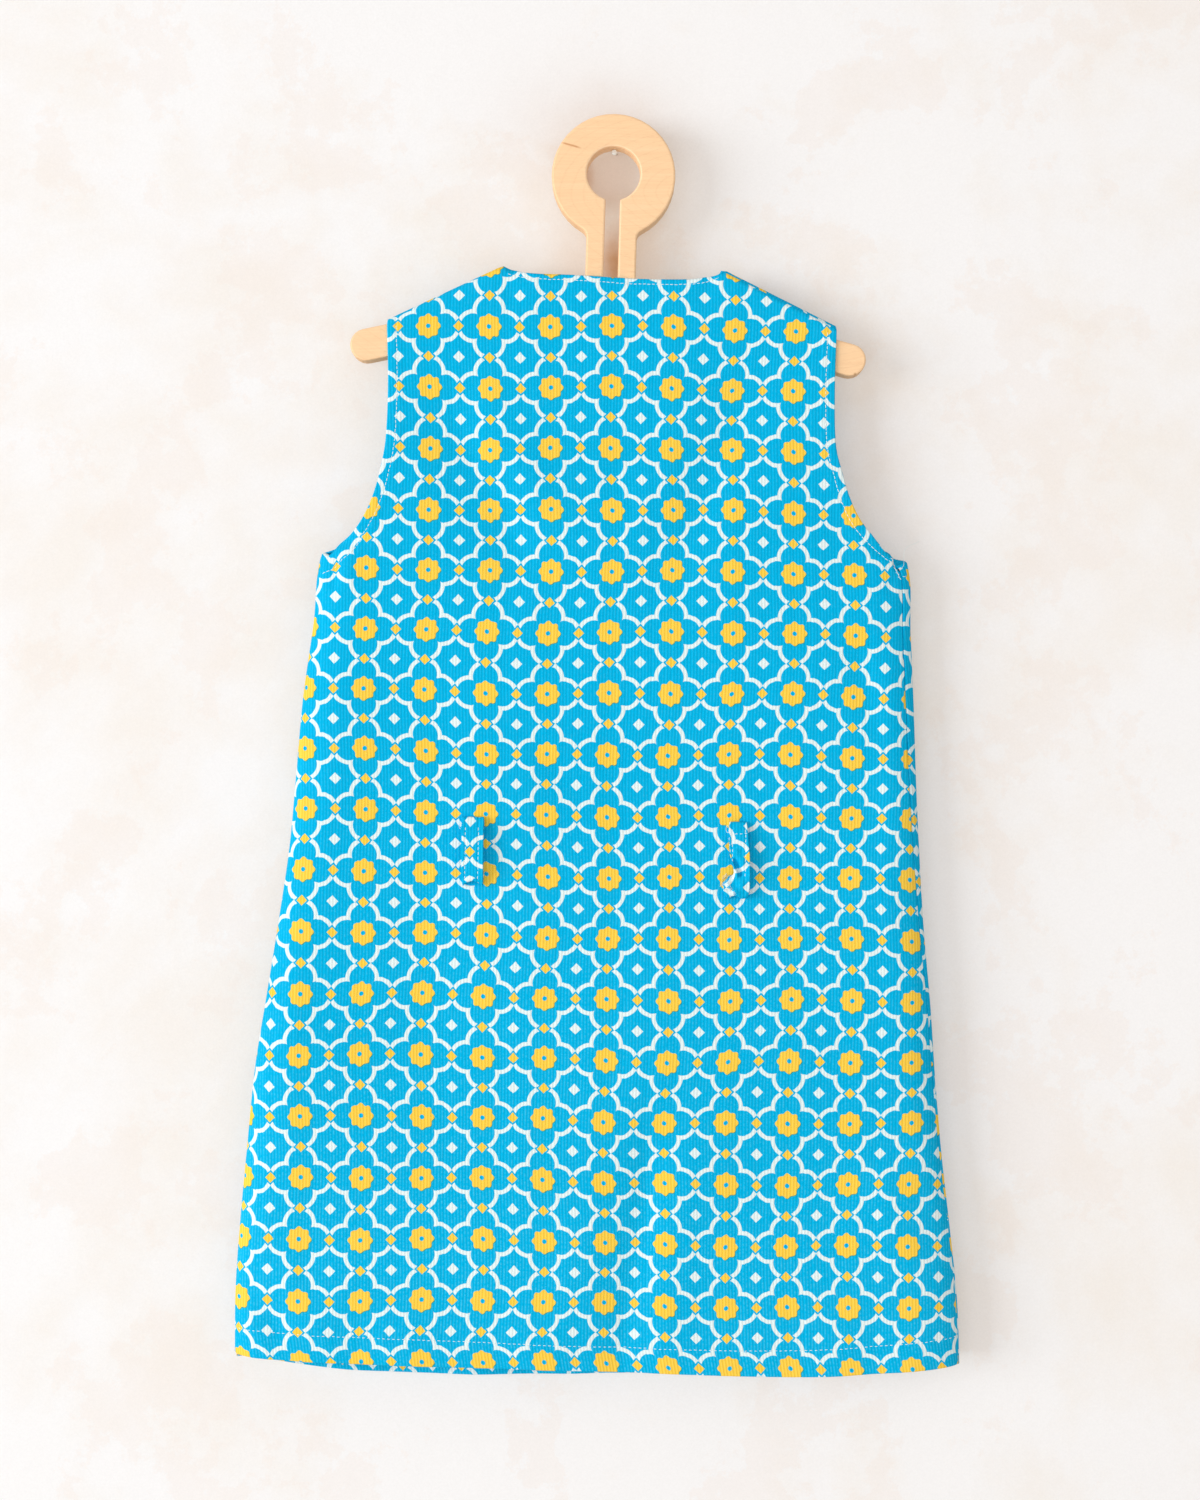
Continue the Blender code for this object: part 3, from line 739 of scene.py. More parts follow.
def cloth_sheet(name, side):
    """A panel with its turned-up hem and turned-in edges, as one sheet with a thickness."""
    across, up, on_shoulder = panel_grid(side)
    points, cut, _ = panel_surface(side, across, up)
    points = points.reshape(*up.shape, 3)
    cut = cut.reshape(*up.shape, 2)

    x, z = points[..., 0], points[..., 2]
    hem_z = read(HEMS, HEM_COLUMN[side], x)
    stitch_z = hem_z + read(HEMS, 3, x)
    relief = (WALL - CLOTH) / 2 - fold_depth(CREASES, side, x, z) * away_from_sides(across, 0.03)
    relief = relief + ripples(side, x, z, hem_z) * away_from_sides(across, 0.06)
    points = points + way_out(side, points) * relief[..., None]
    sag_at_armpits(side, points)
    cut = cut_measures(side, points, cut, stitch_z)
    normals = way_out(side, points)

    # The hem turns up, the neckline turns in, and the shoulder seams only dip
    turn = np.full_like(on_shoulder, math.pi)
    reach = np.full_like(on_shoulder, HEM_TURN_UP)
    rows, places = turned_edge(points, normals, cut, turn, reach, HEM_STITCH)
    neck = 1 - on_shoulder
    turn = math.pi / 2 * (1 + neck)
    reach = PRESSED + NECK_TURN_IN * neck
    top_rows, top_places = turned_edge(
        points[::-1], normals[::-1], cut[::-1], turn, reach, NECK_STITCH
    )
    points = np.concatenate([rows, points, top_rows[::-1]])
    cut = np.concatenate([places, cut, top_places[::-1]])
    points, cut = turned_sides(side, points, cut, len(rows), len(rows) + len(up))

    # A flat grid takes those places; its normals face out of the dress
    bm = bmesh.new()
    row_count, column_count = points.shape[:2]
    bmesh.ops.create_grid(bm, x_segments=column_count - 1, y_segments=row_count - 1, size=1)
    bm.verts.ensure_lookup_table()
    layer = bm.verts.layers.float_vector.new("cut")
    for vert, place, mark in zip(bm.verts, points.reshape(-1, 3), cut.reshape(-1, 3)):
        vert.co = place
        vert[layer] = mark
    if side == FRONT:
        bmesh.ops.reverse_faces(bm, faces=bm.faces)
    piece = new_piece(name, bm, right_side, wrong_side)
    thick = piece.modifiers.new("thickness", "SOLIDIFY")
    thick.thickness = CLOTH
    thick.offset = 0
    thick.material_offset = 1
    thick.material_offset_rim = 1
    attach(piece, "root")
    return piece


back = cloth_sheet("back", BACK)
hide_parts("back_panel", "back_hem_turnup")
front = cloth_sheet("front", FRONT)
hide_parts("front_panel", "front_hem_turnup")


# ---------------------------------------------------------------------------
# Belt loops: two strips of the cloth folded in three lengthways, turned under at both ends and
# sewn to the back. The right one was sewn down crumpled, with its lower left edge folded in.

LOOP_THICK = 0.0013
LOOP_ROLL = 0.00072
LOOP_TURN = 0.0007  # where each end starts to turn under, inside the loop's length
TUCKED_TOP, TUCKED_FOOT = 0.0070, 0.0065
PRINT_SHIFT = {"left": -0.0105, "right": 0.0040}

# Down each loop: how far down, its left and right edges, how far each stands off
LEFT_LOOP = (
    (0.0000, 0.0058, 0.0060, 0.0000, 0.0000),
    (0.0030, 0.0059, 0.0062, 0.0010, 0.0012),
    (0.0055, 0.0063, 0.0061, 0.0018, 0.0020),
    (0.0080, 0.0059, 0.0062, 0.0024, 0.0026),
    (0.0120, 0.0057, 0.0061, 0.0028, 0.0031),
    (0.0190, 0.0058, 0.0063, 0.0030, 0.0034),
    (0.0240, 0.0056, 0.0062, 0.0028, 0.0033),
    (0.0285, 0.0058, 0.0063, 0.0024, 0.0030),
    (0.0325, 0.0059, 0.0062, 0.0010, 0.0016),
    (0.0362, 0.0050, 0.0059, 0.0000, 0.0001),
)
RIGHT_LOOP = (
    (0.0000, 0.0050, 0.0042, 0.0000, 0.0000),
    (0.0040, 0.0055, 0.0048, 0.0006, 0.0010),
    (0.0110, 0.0052, 0.0053, 0.0014, 0.0024),
    (0.0165, 0.0048, 0.0058, 0.0018, 0.0032),
    (0.0210, 0.0036, 0.0060, 0.0020, 0.0036),
    (0.0250, 0.0027, 0.0060, 0.0016, 0.0036),
    (0.0275, 0.0028, 0.0062, 0.0012, 0.0034),
    (0.0300, 0.0062, 0.0062, 0.0012, 0.0030),
    (0.0325, 0.0084, 0.0062, 0.0012, 0.0026),
    (0.0360, 0.0082, 0.0061, 0.0010, 0.0020),
    (0.0390, 0.0064, 0.0057, 0.0005, 0.0010),
    (0.0402, 0.0052, 0.0052, 0.0000, 0.0001),
)


def back_wall(x, z):
    """The outer face of the back at a place away from its sides."""
    z = np.asarray(z, dtype=float)
    x = np.broadcast_to(np.asarray(x, dtype=float), z.shape)
    folds = fold_depth(TROUGHS, BACK, x, z) + fold_depth(CREASES, BACK, x, z)
    return -read(LEVELS, 3, z) + folds - WALL / 2


def next_ring(bm, ring):
    """Extrudes a closed ring of points and gives the new ring in the same order."""
    edges = [bm.edges.get((a, b)) for a, b in zip(ring, ring[1:] + ring[:1])]
    grown = bmesh.ops.extrude_edge_only(bm, edges=edges)["geom"]
    fresh = {v for v in grown if isinstance(v, bmesh.types.BMVert)}
    return [next(e.other_vert(v) for e in v.link_edges if e.other_vert(v) in fresh) for v in ring]


def strip_section():
    """Round the folded strip: across from -1 to 1, and through it from -1, inside, to 1."""
    places = [(mix(-0.93, 0.93, n / 36), 1) for n in range(37)]
    places += [(0.93 + 0.07 * math.sin(a), math.cos(a)) for a in (0.8, 1.57, 2.34)]
    places += [(mix(0.93, -0.93, n / 12), -1) for n in range(13)]
    places += [(-0.93 - 0.07 * math.sin(a), math.cos(a)) for a in (2.34, 1.57, 0.8)]
    return places


def loop_end(tucked):
    """From the tucked end of a strip, round its turn: the columns of loop_path."""
    under = PRESSED + LOOP_THICK / 2
    path = [(down, under, 0, -1, 0) for down in (tucked, 0.0045, 0.0022, 0.0011)]
    for n in range(7):
        across, round_it = math.sin(math.pi * n / 6), math.cos(math.pi * n / 6)
        off = under + LOOP_ROLL * (1 - round_it)
        path.append((LOOP_TURN - LOOP_ROLL * across, off, -across, -round_it, n / 6))
    return path


def loop_path(length):
    """Down the loop: how far down, how far off, the way the face looks, and if it is on top."""
    out = PRESSED + LOOP_THICK / 2 + 2 * LOOP_ROLL
    path = loop_end(TUCKED_TOP)
    path += [(mix(LOOP_TURN, length - LOOP_TURN, n / 72), out, 0, 1, 1) for n in range(1, 72)]
    for up, off, look_up, look_off, free in reversed(loop_end(TUCKED_FOOT)):
        path.append((length - up, off, -look_up, look_off, free))
    return path


def diagonal_crease(x, down):
    """How deep the right loop is creased, from its upper left to its lower right."""
    run = Vector((0.0040, 0.0095))
    place = Vector((x + 0.0033, down - 0.0188))
    t = place.dot(run) / run.length_squared
    off = (place.x * run.y - place.y * run.x) / run.length
    ends = float(smooth(t / 0.25) * smooth((1.1 - t) / 0.2))
    steep = 0.0006 if off < 0.0004 else 0.0013
    fold = 0.0032 * math.exp(-(((off - 0.0004) / steep) ** 2))
    ridge = 0.0012 * math.exp(-(((off + 0.0012) / 0.0008) ** 2))
    return ends * (fold - ridge)


def belt_loop(name, x_middle, z_top, rows, stitched, print_shift, crumpled):
    """The strip along its path: under its top end, over and down, and under again at its foot."""
    length = rows[-1][0]
    section = strip_section()
    bm = bmesh.new()
    layer = bm.verts.layers.float_vector.new("cut")
    ring = bmesh.ops.create_circle(bm, segments=len(section), radius=1)["verts"]
    first, last, strip_v = list(ring), None, 0
    for down, off, look_down, look_off, free in loop_path(length):
        if last is not None:
            ring = next_ring(bm, ring)
            strip_v += math.dist(last, (down, off))
        last = (down, off)
        left, right, lift_left, lift_right = (
            float(read(rows, k, np.array(down))) for k in (1, 2, 3, 4)
        )
        foot = float(smooth((down - length + 0.007) / 0.007))
        for vert, (wide, thick) in zip(ring, section):
            t = (wide + 1) / 2
            x = mix(-left, right, t)
            pressed = sum(math.exp(-(((x - row) / 0.0007) ** 2)) for row in stitched)
            half = LOOP_THICK / 2 * (1 + 0.22 * abs(wide) ** 6 - 0.30 * pressed)
            arch = (1 - wide * wide) * foot
            lift = free * mix(lift_left, lift_right, t)
            rise = off + lift + thick * half * look_off + 0.0019 * arch
            fall = down + thick * half * look_down - (0.0012 if crumpled else 0.0030) * arch
            if crumpled:
                rise -= free * diagonal_crease(x, down) * (0.6 + 0.4 * thick)
                ripple = math.sin(900 * x + 3) * math.sin(520 * down) * (down > 0.014)
                rise += free * 0.0004 * ripple
                fall += 0.0008 * foot * math.sin(700 * x)
            z = z_top - fall
            vert.co = (x_middle + x, float(back_wall(x_middle + x, z)) - rise, z)
            vert[layer] = (x_middle + x * 1.03 + print_shift, strip_v + 0.007, 0.02)
    for end in (first, ring):
        bmesh.ops.contextual_create(bm, geom=end)
    bmesh.ops.recalc_face_normals(bm, faces=bm.faces)
    piece = new_piece(name, bm, right_side)
    finer = piece.modifiers.new("rounding", "SUBSURF")
    finer.levels = 1
    finer.render_levels = 1
    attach(piece, "root")
    return piece


LEFT_LOOP_PLACE = (-0.0703, -0.3633)
LEFT_LOOP_STITCHES = (-0.0038, 0.0032)
RIGHT_LOOP_PLACE = (0.0724, -0.3637)
RIGHT_LOOP_STITCHES = (-0.0036, 0.0035)
loop_left = belt_loop(
    "belt_loop_left_strip",
    *LEFT_LOOP_PLACE,
    LEFT_LOOP,
    LEFT_LOOP_STITCHES,
    PRINT_SHIFT["left"],
    False,
)
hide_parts("belt_loop_left")
loop_right = belt_loop(
    "belt_loop_right_strip",
    *RIGHT_LOOP_PLACE,
    RIGHT_LOOP,
    RIGHT_LOOP_STITCHES,
    PRINT_SHIFT["right"],
    True,
)
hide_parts("belt_loop_right")


# ---------------------------------------------------------------------------
# Topstitching: white sewing thread, one row round the hem, the neckline and each armhole, two
# down each belt loop, and the loose ends that were left at the right armpit and the right loop.

THREAD = 0.00019
OVERCAST, LOOSE_END, FINE_END, FIBRE = 0.00014, 0.00012, 0.00010, 0.00007

# Each kind of row: its pitch, and the length of one stitch
ARMHOLE_STITCHES = (0.00242, 0.0019)
NECK_STITCHES = (0.0024, 0.0018)
HEM_STITCHES = (0.0027, 0.0016)
LOOP_STITCHES = (0.0024, 0.0017)
# Beside the right loop, and across its top
CRUMPLED_STITCHES = ((0.0024, 0.0015), (0.0021, 0.0014))

# Towards the armpits the rows leave the edge and run straight to the side seams: x, z
LEFT_ARMPIT_ROW = (
    (-0.1543, -0.2330),
    (-0.1491, -0.2311),
    (-0.1465, -0.2292),
    (-0.1435, -0.2257),
    (-0.1384, -0.2216),
    (-0.1329, -0.2144),
)
RIGHT_ARMPIT_ROW = (
    (0.1530, -0.2226),
    (0.1512, -0.2214),
    (0.1492, -0.2202),
    (0.1442, -0.2161),
    (0.1398, -0.2121),
)

HEM_STITCH_ENDS = (-0.1935, 0.1950)

# Loose ends of thread: x, z
LEFT_CURL = (
    (-0.0762, -0.3672),
    (-0.0770, -0.3662),
    (-0.0776, -0.3676),
    (-0.0772, -0.3692),
    (-0.0763, -0.3690),
)
RIGHT_CURL = (
    (0.0680, -0.3665),
    (0.0662, -0.3652),
    (0.0655, -0.3668),
    (0.0660, -0.3688),
    (0.0676, -0.3690),
)
ARMPIT_TAIL = (
    (0.1576, -0.2262),
    (0.1594, -0.2240),
    (0.1600, -0.2213),
    (0.1601, -0.2167),
    (0.1612, -0.2140),
    (0.1638, -0.2121),
    (0.1668, -0.2109),
    (0.1692, -0.2094),
)
SEAM_END = (
    (0.1532, -0.2206),
    (0.1540, -0.2232),
    (0.1550, -0.2258),
    (0.1563, -0.2282),
    (0.1574, -0.2306),
)

# Tufts of fibres at the right loop's frayed end: x, z, the way they lean
TUFTS = (
    (0.0668, -0.3912, -0.9),
    (0.0652, -0.3932, -0.7),
    (0.0644, -0.3958, -0.3),
    (0.0650, -0.3988, 0.1),
    (0.0672, -0.3950, -0.5),
    (0.0680, -0.3982, -0.2),
    (0.0688, -0.3924, -0.8),
    (0.0700, -0.4006, 0.3),
)


def sewing_thread():
    """Matt white cotton thread, with the twist of its plies along it."""
    material, start = new_material("white_thread")
    place = start.node("ShaderNodeTexCoord", {}, {}, output="Object")
    twist = place.noise(1, 2600)
    color = (0.86 + 0.24 * twist).tinted((0.83, 0.90, 0.90))
    bump = twist.relief(0.5, 0.0001)
    finish_material(
        start,
        {"Base Color": color, "Roughness": 0.75, "Normal": bump, "Sheen Weight": 0.1},
    )
    return material


white_thread = sewing_thread()


def surface_tree(piece):
    """Finds places on a piece, with its thickness."""
    return BVHTree.FromObject(piece, bpy.context.evaluated_depsgraph_get())


def resample(line, pitch):
    """Evenly spaced points on a line, with the direction at each."""
    line = [Vector(p) for p in line]
    lengths = [(b - a).length for a, b in zip(line, line[1:])]
    total = sum(lengths)
    places = []
    count = int(total / pitch)
    for n in range(count):
        goal = (n + 0.5) * total / count
        for a, b, length in zip(line, line[1:], lengths):
            if goal <= length:
                places.append((a.lerp(b, goal / length), (b - a).normalized()))
                break
            goal -= length
    return places


def single_stitch():
    """One stitch, a metre long before it is scaled: a round thread that dips into the cloth."""
    bm = bmesh.new()
    turn = Matrix.Rotation(math.pi / 2, 4, "Y")
    bmesh.ops.create_uvsphere(bm, u_segments=6, v_segments=6, radius=1, matrix=turn)
    for vert in bm.verts:
        blunt = math.copysign(abs(vert.co.x) ** 0.55, vert.co.x)
        vert.co.x = blunt / 2
        vert.co.z -= 1.1 * blunt**4
    mesh = bpy.data.meshes.new("stitch")
    bm.to_mesh(mesh)
    bm.free()
    return mesh


one_stitch = single_stitch()


def on_cloth(tree, side, x, z):
    """The place on the outside of a piece at (x, z), and the way out of it there."""
    hit, normal, _, _ = tree.ray_cast(Vector((x, side * 0.05, z)), Vector((0, -side, 0)))
    if hit is None:
        return None, None
    return hit, -normal if normal.y * side < 0 else normal


def sew(bm, tree, side, line, pitch, length, wander=0.00012, seed=1):
    """Stitches along a line of (x, z) points, laid on the outside of a piece."""
    chance = np.random.default_rng(seed)
    count = len(one_stitch.vertices)
    for place, way in resample(line, pitch):
        place = place + Vector((way.y, -way.x)) * float(chance.uniform(-wander, wander))
        hit, normal = on_cloth(tree, side, place.x, place.y)
        if hit is None:
            continue
        along = Vector((way.x, 0, way.y))
        along = (along - normal * along.dot(normal)).normalized()
        along = Matrix.Rotation(float(chance.uniform(-0.07, 0.07)), 3, normal) @ along
        turn = Matrix((along, normal.cross(along), normal)).transposed().to_4x4()
        size = Matrix.Diagonal((length * float(chance.uniform(0.9, 1.1)), THREAD, THREAD * 0.8, 1))
        stitch = Matrix.Translation(hit + normal * THREAD * 0.35) @ turn @ size
        bm.from_mesh(one_stitch)
        bm.verts.ensure_lookup_table()
        bmesh.ops.transform(bm, matrix=stitch, verts=bm.verts[-count:])


def loose_thread(bm, points, radius=0.00013):
    """A thin thread along a smooth curve through a few points."""
    points = [Vector(p) for p in points]
    ends = [2 * points[0] - points[1]] + points + [2 * points[-1] - points[-2]]
    curve = []
    for a, b, c, d in zip(ends, ends[1:], ends[2:], ends[3:]):
        for n in range(6):
            t = n / 6
            bend = (2 * a - 5 * b + 4 * c - d) * t**2 + (3 * b - a - 3 * c + d) * t**3
            curve.append((2 * b + (c - a) * t + bend) / 2)
    curve.append(points[-1])
    ring = bmesh.ops.create_circle(bm, segments=5, radius=radius)["verts"]
    first = list(ring)
    for i, place in enumerate(curve):
        if i:
            ring = next_ring(bm, ring)
        run = (curve[min(i + 1, len(curve) - 1)] - curve[max(i - 1, 0)]).to_track_quat("Z", "X")
        for k, vert in enumerate(ring):
            angle = math.tau * k / 5
            vert.co = place + run @ Vector((radius * math.cos(angle), radius * math.sin(angle), 0))
    for end in (first, ring):
        bmesh.ops.contextual_create(bm, geom=end)


def thread_piece(name, bm):
    bmesh.ops.recalc_face_normals(bm, faces=bm.faces)
    piece = new_piece(name, bm, white_thread)
    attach(piece, "root")
    return piece


def offset_line(line, distance):
    """The line at a distance to the right of a line."""
    moved = []
    for i, point in enumerate(line):
        a, b = line[max(i - 1, 0)], line[min(i + 1, len(line) - 1)]
        run = Vector((b[0] - a[0], b[1] - a[1])).normalized()
        moved.append((point[0] + run.y * distance, point[1] - run.x * distance))
    return moved


def stitched_edges(name, piece, side):
    """The rows round the armholes, the neckline and the hem of a panel."""
    bm = bmesh.new()
    tree = surface_tree(piece)
    for sign, start in ((-1, LEFT_ARMPIT_ROW), (1, RIGHT_ARMPIT_ROW)):
        line = offset_line(armhole_edge(sign), -sign * ARMHOLE_STITCH)
        line = [p for p in line if start[-1][1] + 0.003 < p[1] < SHOULDER_TIP_Z - 0.0006]
        sew(bm, tree, side, list(start) + line, *ARMHOLE_STITCHES, seed=3 + sign)
    line = offset_line(neck_edge(side), NECK_STITCH)
    line = [p for p in line if abs(p[0]) < NECK_HALF - 0.001]
    sew(bm, tree, side, line, *NECK_STITCHES, seed=7)
    xs = np.linspace(*HEM_STITCH_ENDS, 90)
    zs = read(HEMS, HEM_COLUMN[side], xs) + read(HEMS, 3, xs)
    sew(bm, tree, side, list(zip(xs, zs)), *HEM_STITCHES, seed=9)
    return thread_piece(name, bm)


back_stitches = stitched_edges("back_topstitching", back, BACK)
front_stitches = stitched_edges("front_topstitching", front, FRONT)


def loop_stitches(tree, place, columns, top, foot):
    """The rows down a belt loop."""
    bm = bmesh.new()
    x, z = place
    for n, across in enumerate(columns):
        middle = (x + across + 0.0003, z - (top + foot) / 2)
        line = [(x + across, z - top), middle, (x + across, z - foot)]
        sew(bm, tree, BACK, line, *LOOP_STITCHES, seed=20 + n)
    return bm


bm = loop_stitches(surface_tree(loop_left), LEFT_LOOP_PLACE, LEFT_LOOP_STITCHES, 0.0045, 0.0330)
loose_thread(bm, [(x, -0.0120, z) for x, z in LEFT_CURL], FINE_END)
left_loop_thread = thread_piece("left_loop_stitching", bm)

tree, back_tree = surface_tree(loop_right), surface_tree(back)
bm = loop_stitches(tree, RIGHT_LOOP_PLACE, RIGHT_LOOP_STITCHES, 0.0030, 0.0290)
x, z = RIGHT_LOOP_PLACE
beside, across = CRUMPLED_STITCHES
sew(bm, tree, BACK, [(x - 0.0052, z - 0.0070), (x - 0.0046, z - 0.0165)], *beside, seed=31)
sew(bm, tree, BACK, [(x - 0.0052, z - 0.0062), (x + 0.0050, z - 0.0054)], *across, seed=32)
loose_thread(bm, [(x, -0.0128, z) for x, z in RIGHT_CURL])


def frontmost(trees, x, z, missing):
    """How far out the nearest of some pieces is at a place that the viewer sees."""
    found = [on_cloth(tree, BACK, x, z)[0] for tree in trees]
    return min([place.y for place in found if place] or [missing])


# The strip's frayed end: short soft fibres in tufts
chance = np.random.default_rng(5)
for tuft_x, tuft_z, lean in TUFTS:
    for n in range(7):
        x = tuft_x + float(chance.normal(0, 0.0005))
        z = tuft_z + float(chance.normal(0, 0.0006))
        run = Vector((lean + float(chance.normal(0, 0.35)), -1)).normalized()
        run = run * float(chance.uniform(0.0009, 0.0022))
        curl = Vector((run.y, -run.x)) * float(chance.uniform(-0.4, 0.4))
        line = []
        for t, off in ((0, 0.0000), (0.35, 0.0004), (0.7, 0.0005), (1, 0.0001)):
            at = Vector((x, z)) + run * t + curl * t * (1 - t) * 2
            line.append((at.x, frontmost((tree, back_tree), at.x, at.y, 0) - off, at.y))
        loose_thread(bm, line, FIBRE)
right_loop_thread = thread_piece("right_loop_stitching", bm)

# Overcast stitches and the loose ends at the right armpit
bm = bmesh.new()
trees = (back_tree, surface_tree(front))
overcast = [SEAM_END]
overcast += [((x - 0.0010, z + 0.0007), (x, z), (x + 0.0008, z - 0.0008)) for x, z in SEAM_END]
for line in overcast:
    loose_thread(bm, [(x, frontmost(trees, x, z, -0.0040) - 0.0002, z) for x, z in line], OVERCAST)
tail = [(x, mix(-0.0062, 0.0050, n / 7), z) for n, (x, z) in enumerate(ARMPIT_TAIL)]
loose_thread(bm, tail, LOOSE_END)
knot = [(0.1592, -0.0052, -0.2296), (0.1600, -0.0056, -0.2298), (0.1610, -0.0044, -0.2292)]
loose_thread(bm, knot, LOOSE_END)
armpit_thread = thread_piece("right_armpit_threads", bm)


# ---------------------------------------------------------------------------
# Hanger: one board of maple plywood, cut to a disc with a keyhole, a neck and two arms, sanded
# and lightly oiled. The grain runs along the arms, and its plies show on the cut edges.

BOARD_HALF = 0.00525
PLY = 0.0030
HOLE_RADIUS = 0.0150
HOLE_MIDDLE = (-0.0002, -0.0145)
SLOT_MIDDLE, SLOT_HALF, SLOT_TOP = -0.0007, 0.0044, -0.0290
KNOCKS = ((0.1298, -0.1036), (0.1317, -0.1208))  # at the end of the right arm

MAPLE = (
    (0.30, (0.930, 0.610, 0.350, 1)),
    (0.52, (0.955, 0.645, 0.375, 1)),
    (0.75, (0.970, 0.680, 0.415, 1)),
)
PLY_BROWN = (0.78, 0.40, 0.17, 1)
GRAIN_BROWN = (0.70, 0.38, 0.16, 1)
PORE_BROWN = (0.60, 0.32, 0.14, 1)
RUBBED_PALE = (1.0, 0.80, 0.58, 1)
STREAK_RED = (0.56, 0.21, 0.06, 1)
KNOCK_BROWN = (0.50, 0.27, 0.12, 1)


def maple_plywood():
    material, start = new_material("maple_plywood_oiled")
    place = start.node("ShaderNodeTexCoord", {}, {}, output="Object")
    x, y, z = place.parts()
    warp = x.place(x * 7, y * 12, z * 40).noise(3)
    grain = x.place(x * 22, y * 30, z * 900 + warp * 18).noise(4)
    fine = x.place(x * 160, y * 300, z * 4200).noise(2)
    pores = x.place(x * 420, y * 500, z * 2600).noise(1)
    color = grain.node("ShaderNodeValToRGB", {"stops": MAPLE}, {0: grain})
    # Plies on the edges, where the face isn't front or back
    normal = place.node("ShaderNodeNewGeometry", {}, {}, output="True Normal")
    edge = (abs(normal.parts()[1]) - 0.6).within(0.3)
    dark_ply = (cell_distance((y + BOARD_HALF) / PLY) - 0.20).within(0.12)
    color = (edge * (0.10 + 0.36 * dark_ply)).blend(color, PLY_BROWN)
    # Cathedral lines in the disc's right half, and a few pores
    arcs = cell_distance(((x - 0.045) / 0.030).reach((z + 0.024) / 0.016) * 4.5 + warp * 1.6)
    color = (0.11 * (arcs - 0.07).within(0.10)).blend(color, GRAIN_BROWN)
    color = (0.13 * (pores - 0.34).within(0.06)).blend(color, PORE_BROWN)
    # The eased edge of the keyhole has been rubbed pale
    rim = abs((x - HOLE_MIDDLE[0]).reach(z - HOLE_MIDDLE[1]) - HOLE_RADIUS)
    beside = abs(abs(x - SLOT_MIDDLE) - SLOT_HALF)
    below = (z - SLOT_TOP).within(0.0010)
    rubbed = (rim - 0.0003).within(0.0004) * (1 - below) + (beside - 0.0003).within(0.0004) * below
    color = (0.35 * rubbed).blend(color, RUBBED_PALE)
    # A reddish streak beside the hole
    across, up = x + 0.0235, z - 0.0002
    along = (abs(across) - 0.0046).within(0.003)
    streak = (abs(up + 0.25 * across + 0.0016 * (warp - 0.5)) - 0.0003).within(0.0009) * along
    color = streak.blend(color, STREAK_RED)
    for knock_x, knock_z in KNOCKS:
        knock = ((x - knock_x).reach(z - knock_z) - 0.0006).within(0.0008)
        color = (0.7 * knock).blend(color, KNOCK_BROWN)
    finish_material(
        start,
        {
            "Base Color": (0.955 + 0.08 * fine).tinted(color),
            "Roughness": 0.52 + 0.14 * fine,
            "Normal": (grain * 0.6 + fine * 0.4).relief(0.35, 0.00025),
            "Specular IOR Level": 0.35,
        },
    )
    return material


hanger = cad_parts["hanger"]
for slot in hanger.material_slots:
    slot.material = maple_plywood()


# ---------------------------------------------------------------------------
# The room: a plastered wall behind the dress, the nail in it, a pale floor, and soft light from
# the left, at the dress's own height. None of it belongs to the object.

WALL_Y = 0.0186
FLOOR_Z = -1.2
STAGE_HALF = 3.0
FLOOR_PALE = (0.86, 0.84, 0.81, 1)

# The nail's head and shank: the radius and both ends. Its head hides most of how the shank slants
# into the wall; the bit that shows to its right is a painted shadow, standing in for the head's
# shadow on the wall.
NAIL = (
    (0.0015, (0, 0.0004, -0.0015), (0, 0.0016, -0.0015)),
    (0.0005, (0, 0.0014, -0.0015), (0.0016, 0.0200, 0.0026)),
)

# Painted warm shadows on the plaster, beside the hanger's neck, above its disc, above the
# shoulders, in the right armhole, in the slot and in the hole: the middle in x and z, half the
# width and height, the slope and the depth
PAINTED_WALL_SHADOWS = (
    (0.016, -0.054, 0.028, 0.034, 0, 0.12),
    (-0.020, -0.056, 0.016, 0.022, 0, 0.16),
    (-0.010, 0.018, 0.045, 0.030, 0, 0.26),
    (0.084, -0.068, 0.056, 0.016, -0.42, 0.12),
    (-0.076, -0.066, 0.050, 0.013, 0.42, 0.05),
    (0.138, -0.178, 0.034, 0.060, 0, 0.08),
    (0.001, -0.059, 0.009, 0.020, 0, 0.98),
    (-0.017, -0.010, 0.0105, 0.016, 0, 0.95),
)


def clear_from_behind(start, shader):
    """Ends a material whose back lets the viewer look through."""
    clear = start.node("ShaderNodeBsdfTransparent", {}, {})
    behind = start.node("ShaderNodeNewGeometry", {}, {}, output="Backfacing")
    both = start.node("ShaderNodeMixShader", {}, {0: behind, 1: shader, 2: clear})
    start.node("ShaderNodeOutputMaterial", {}, {"Surface": both})


# The limewash, where it is patched, where it has flaked, its painted warm shadow, and how much of
# that it takes: first for the plaster's colour, then for its glow, which is painted light
LIMEWASH_SHADE_AND_GLOW = (
    (
        (0.590, 0.660, 0.722, 1),
        (0.564, 0.586, 0.586, 1),
        (0.570, 0.560, 0.560, 1),
        (0.370, 0.205, 0.105, 1),
        0.9,
    ),
    (
        (0.970, 0.722, 0.545, 1),
        (0.950, 0.690, 0.495, 1),
        (0.930, 0.655, 0.470, 1),
        (0.520, 0.235, 0.085, 1),
        1,
    ),
)


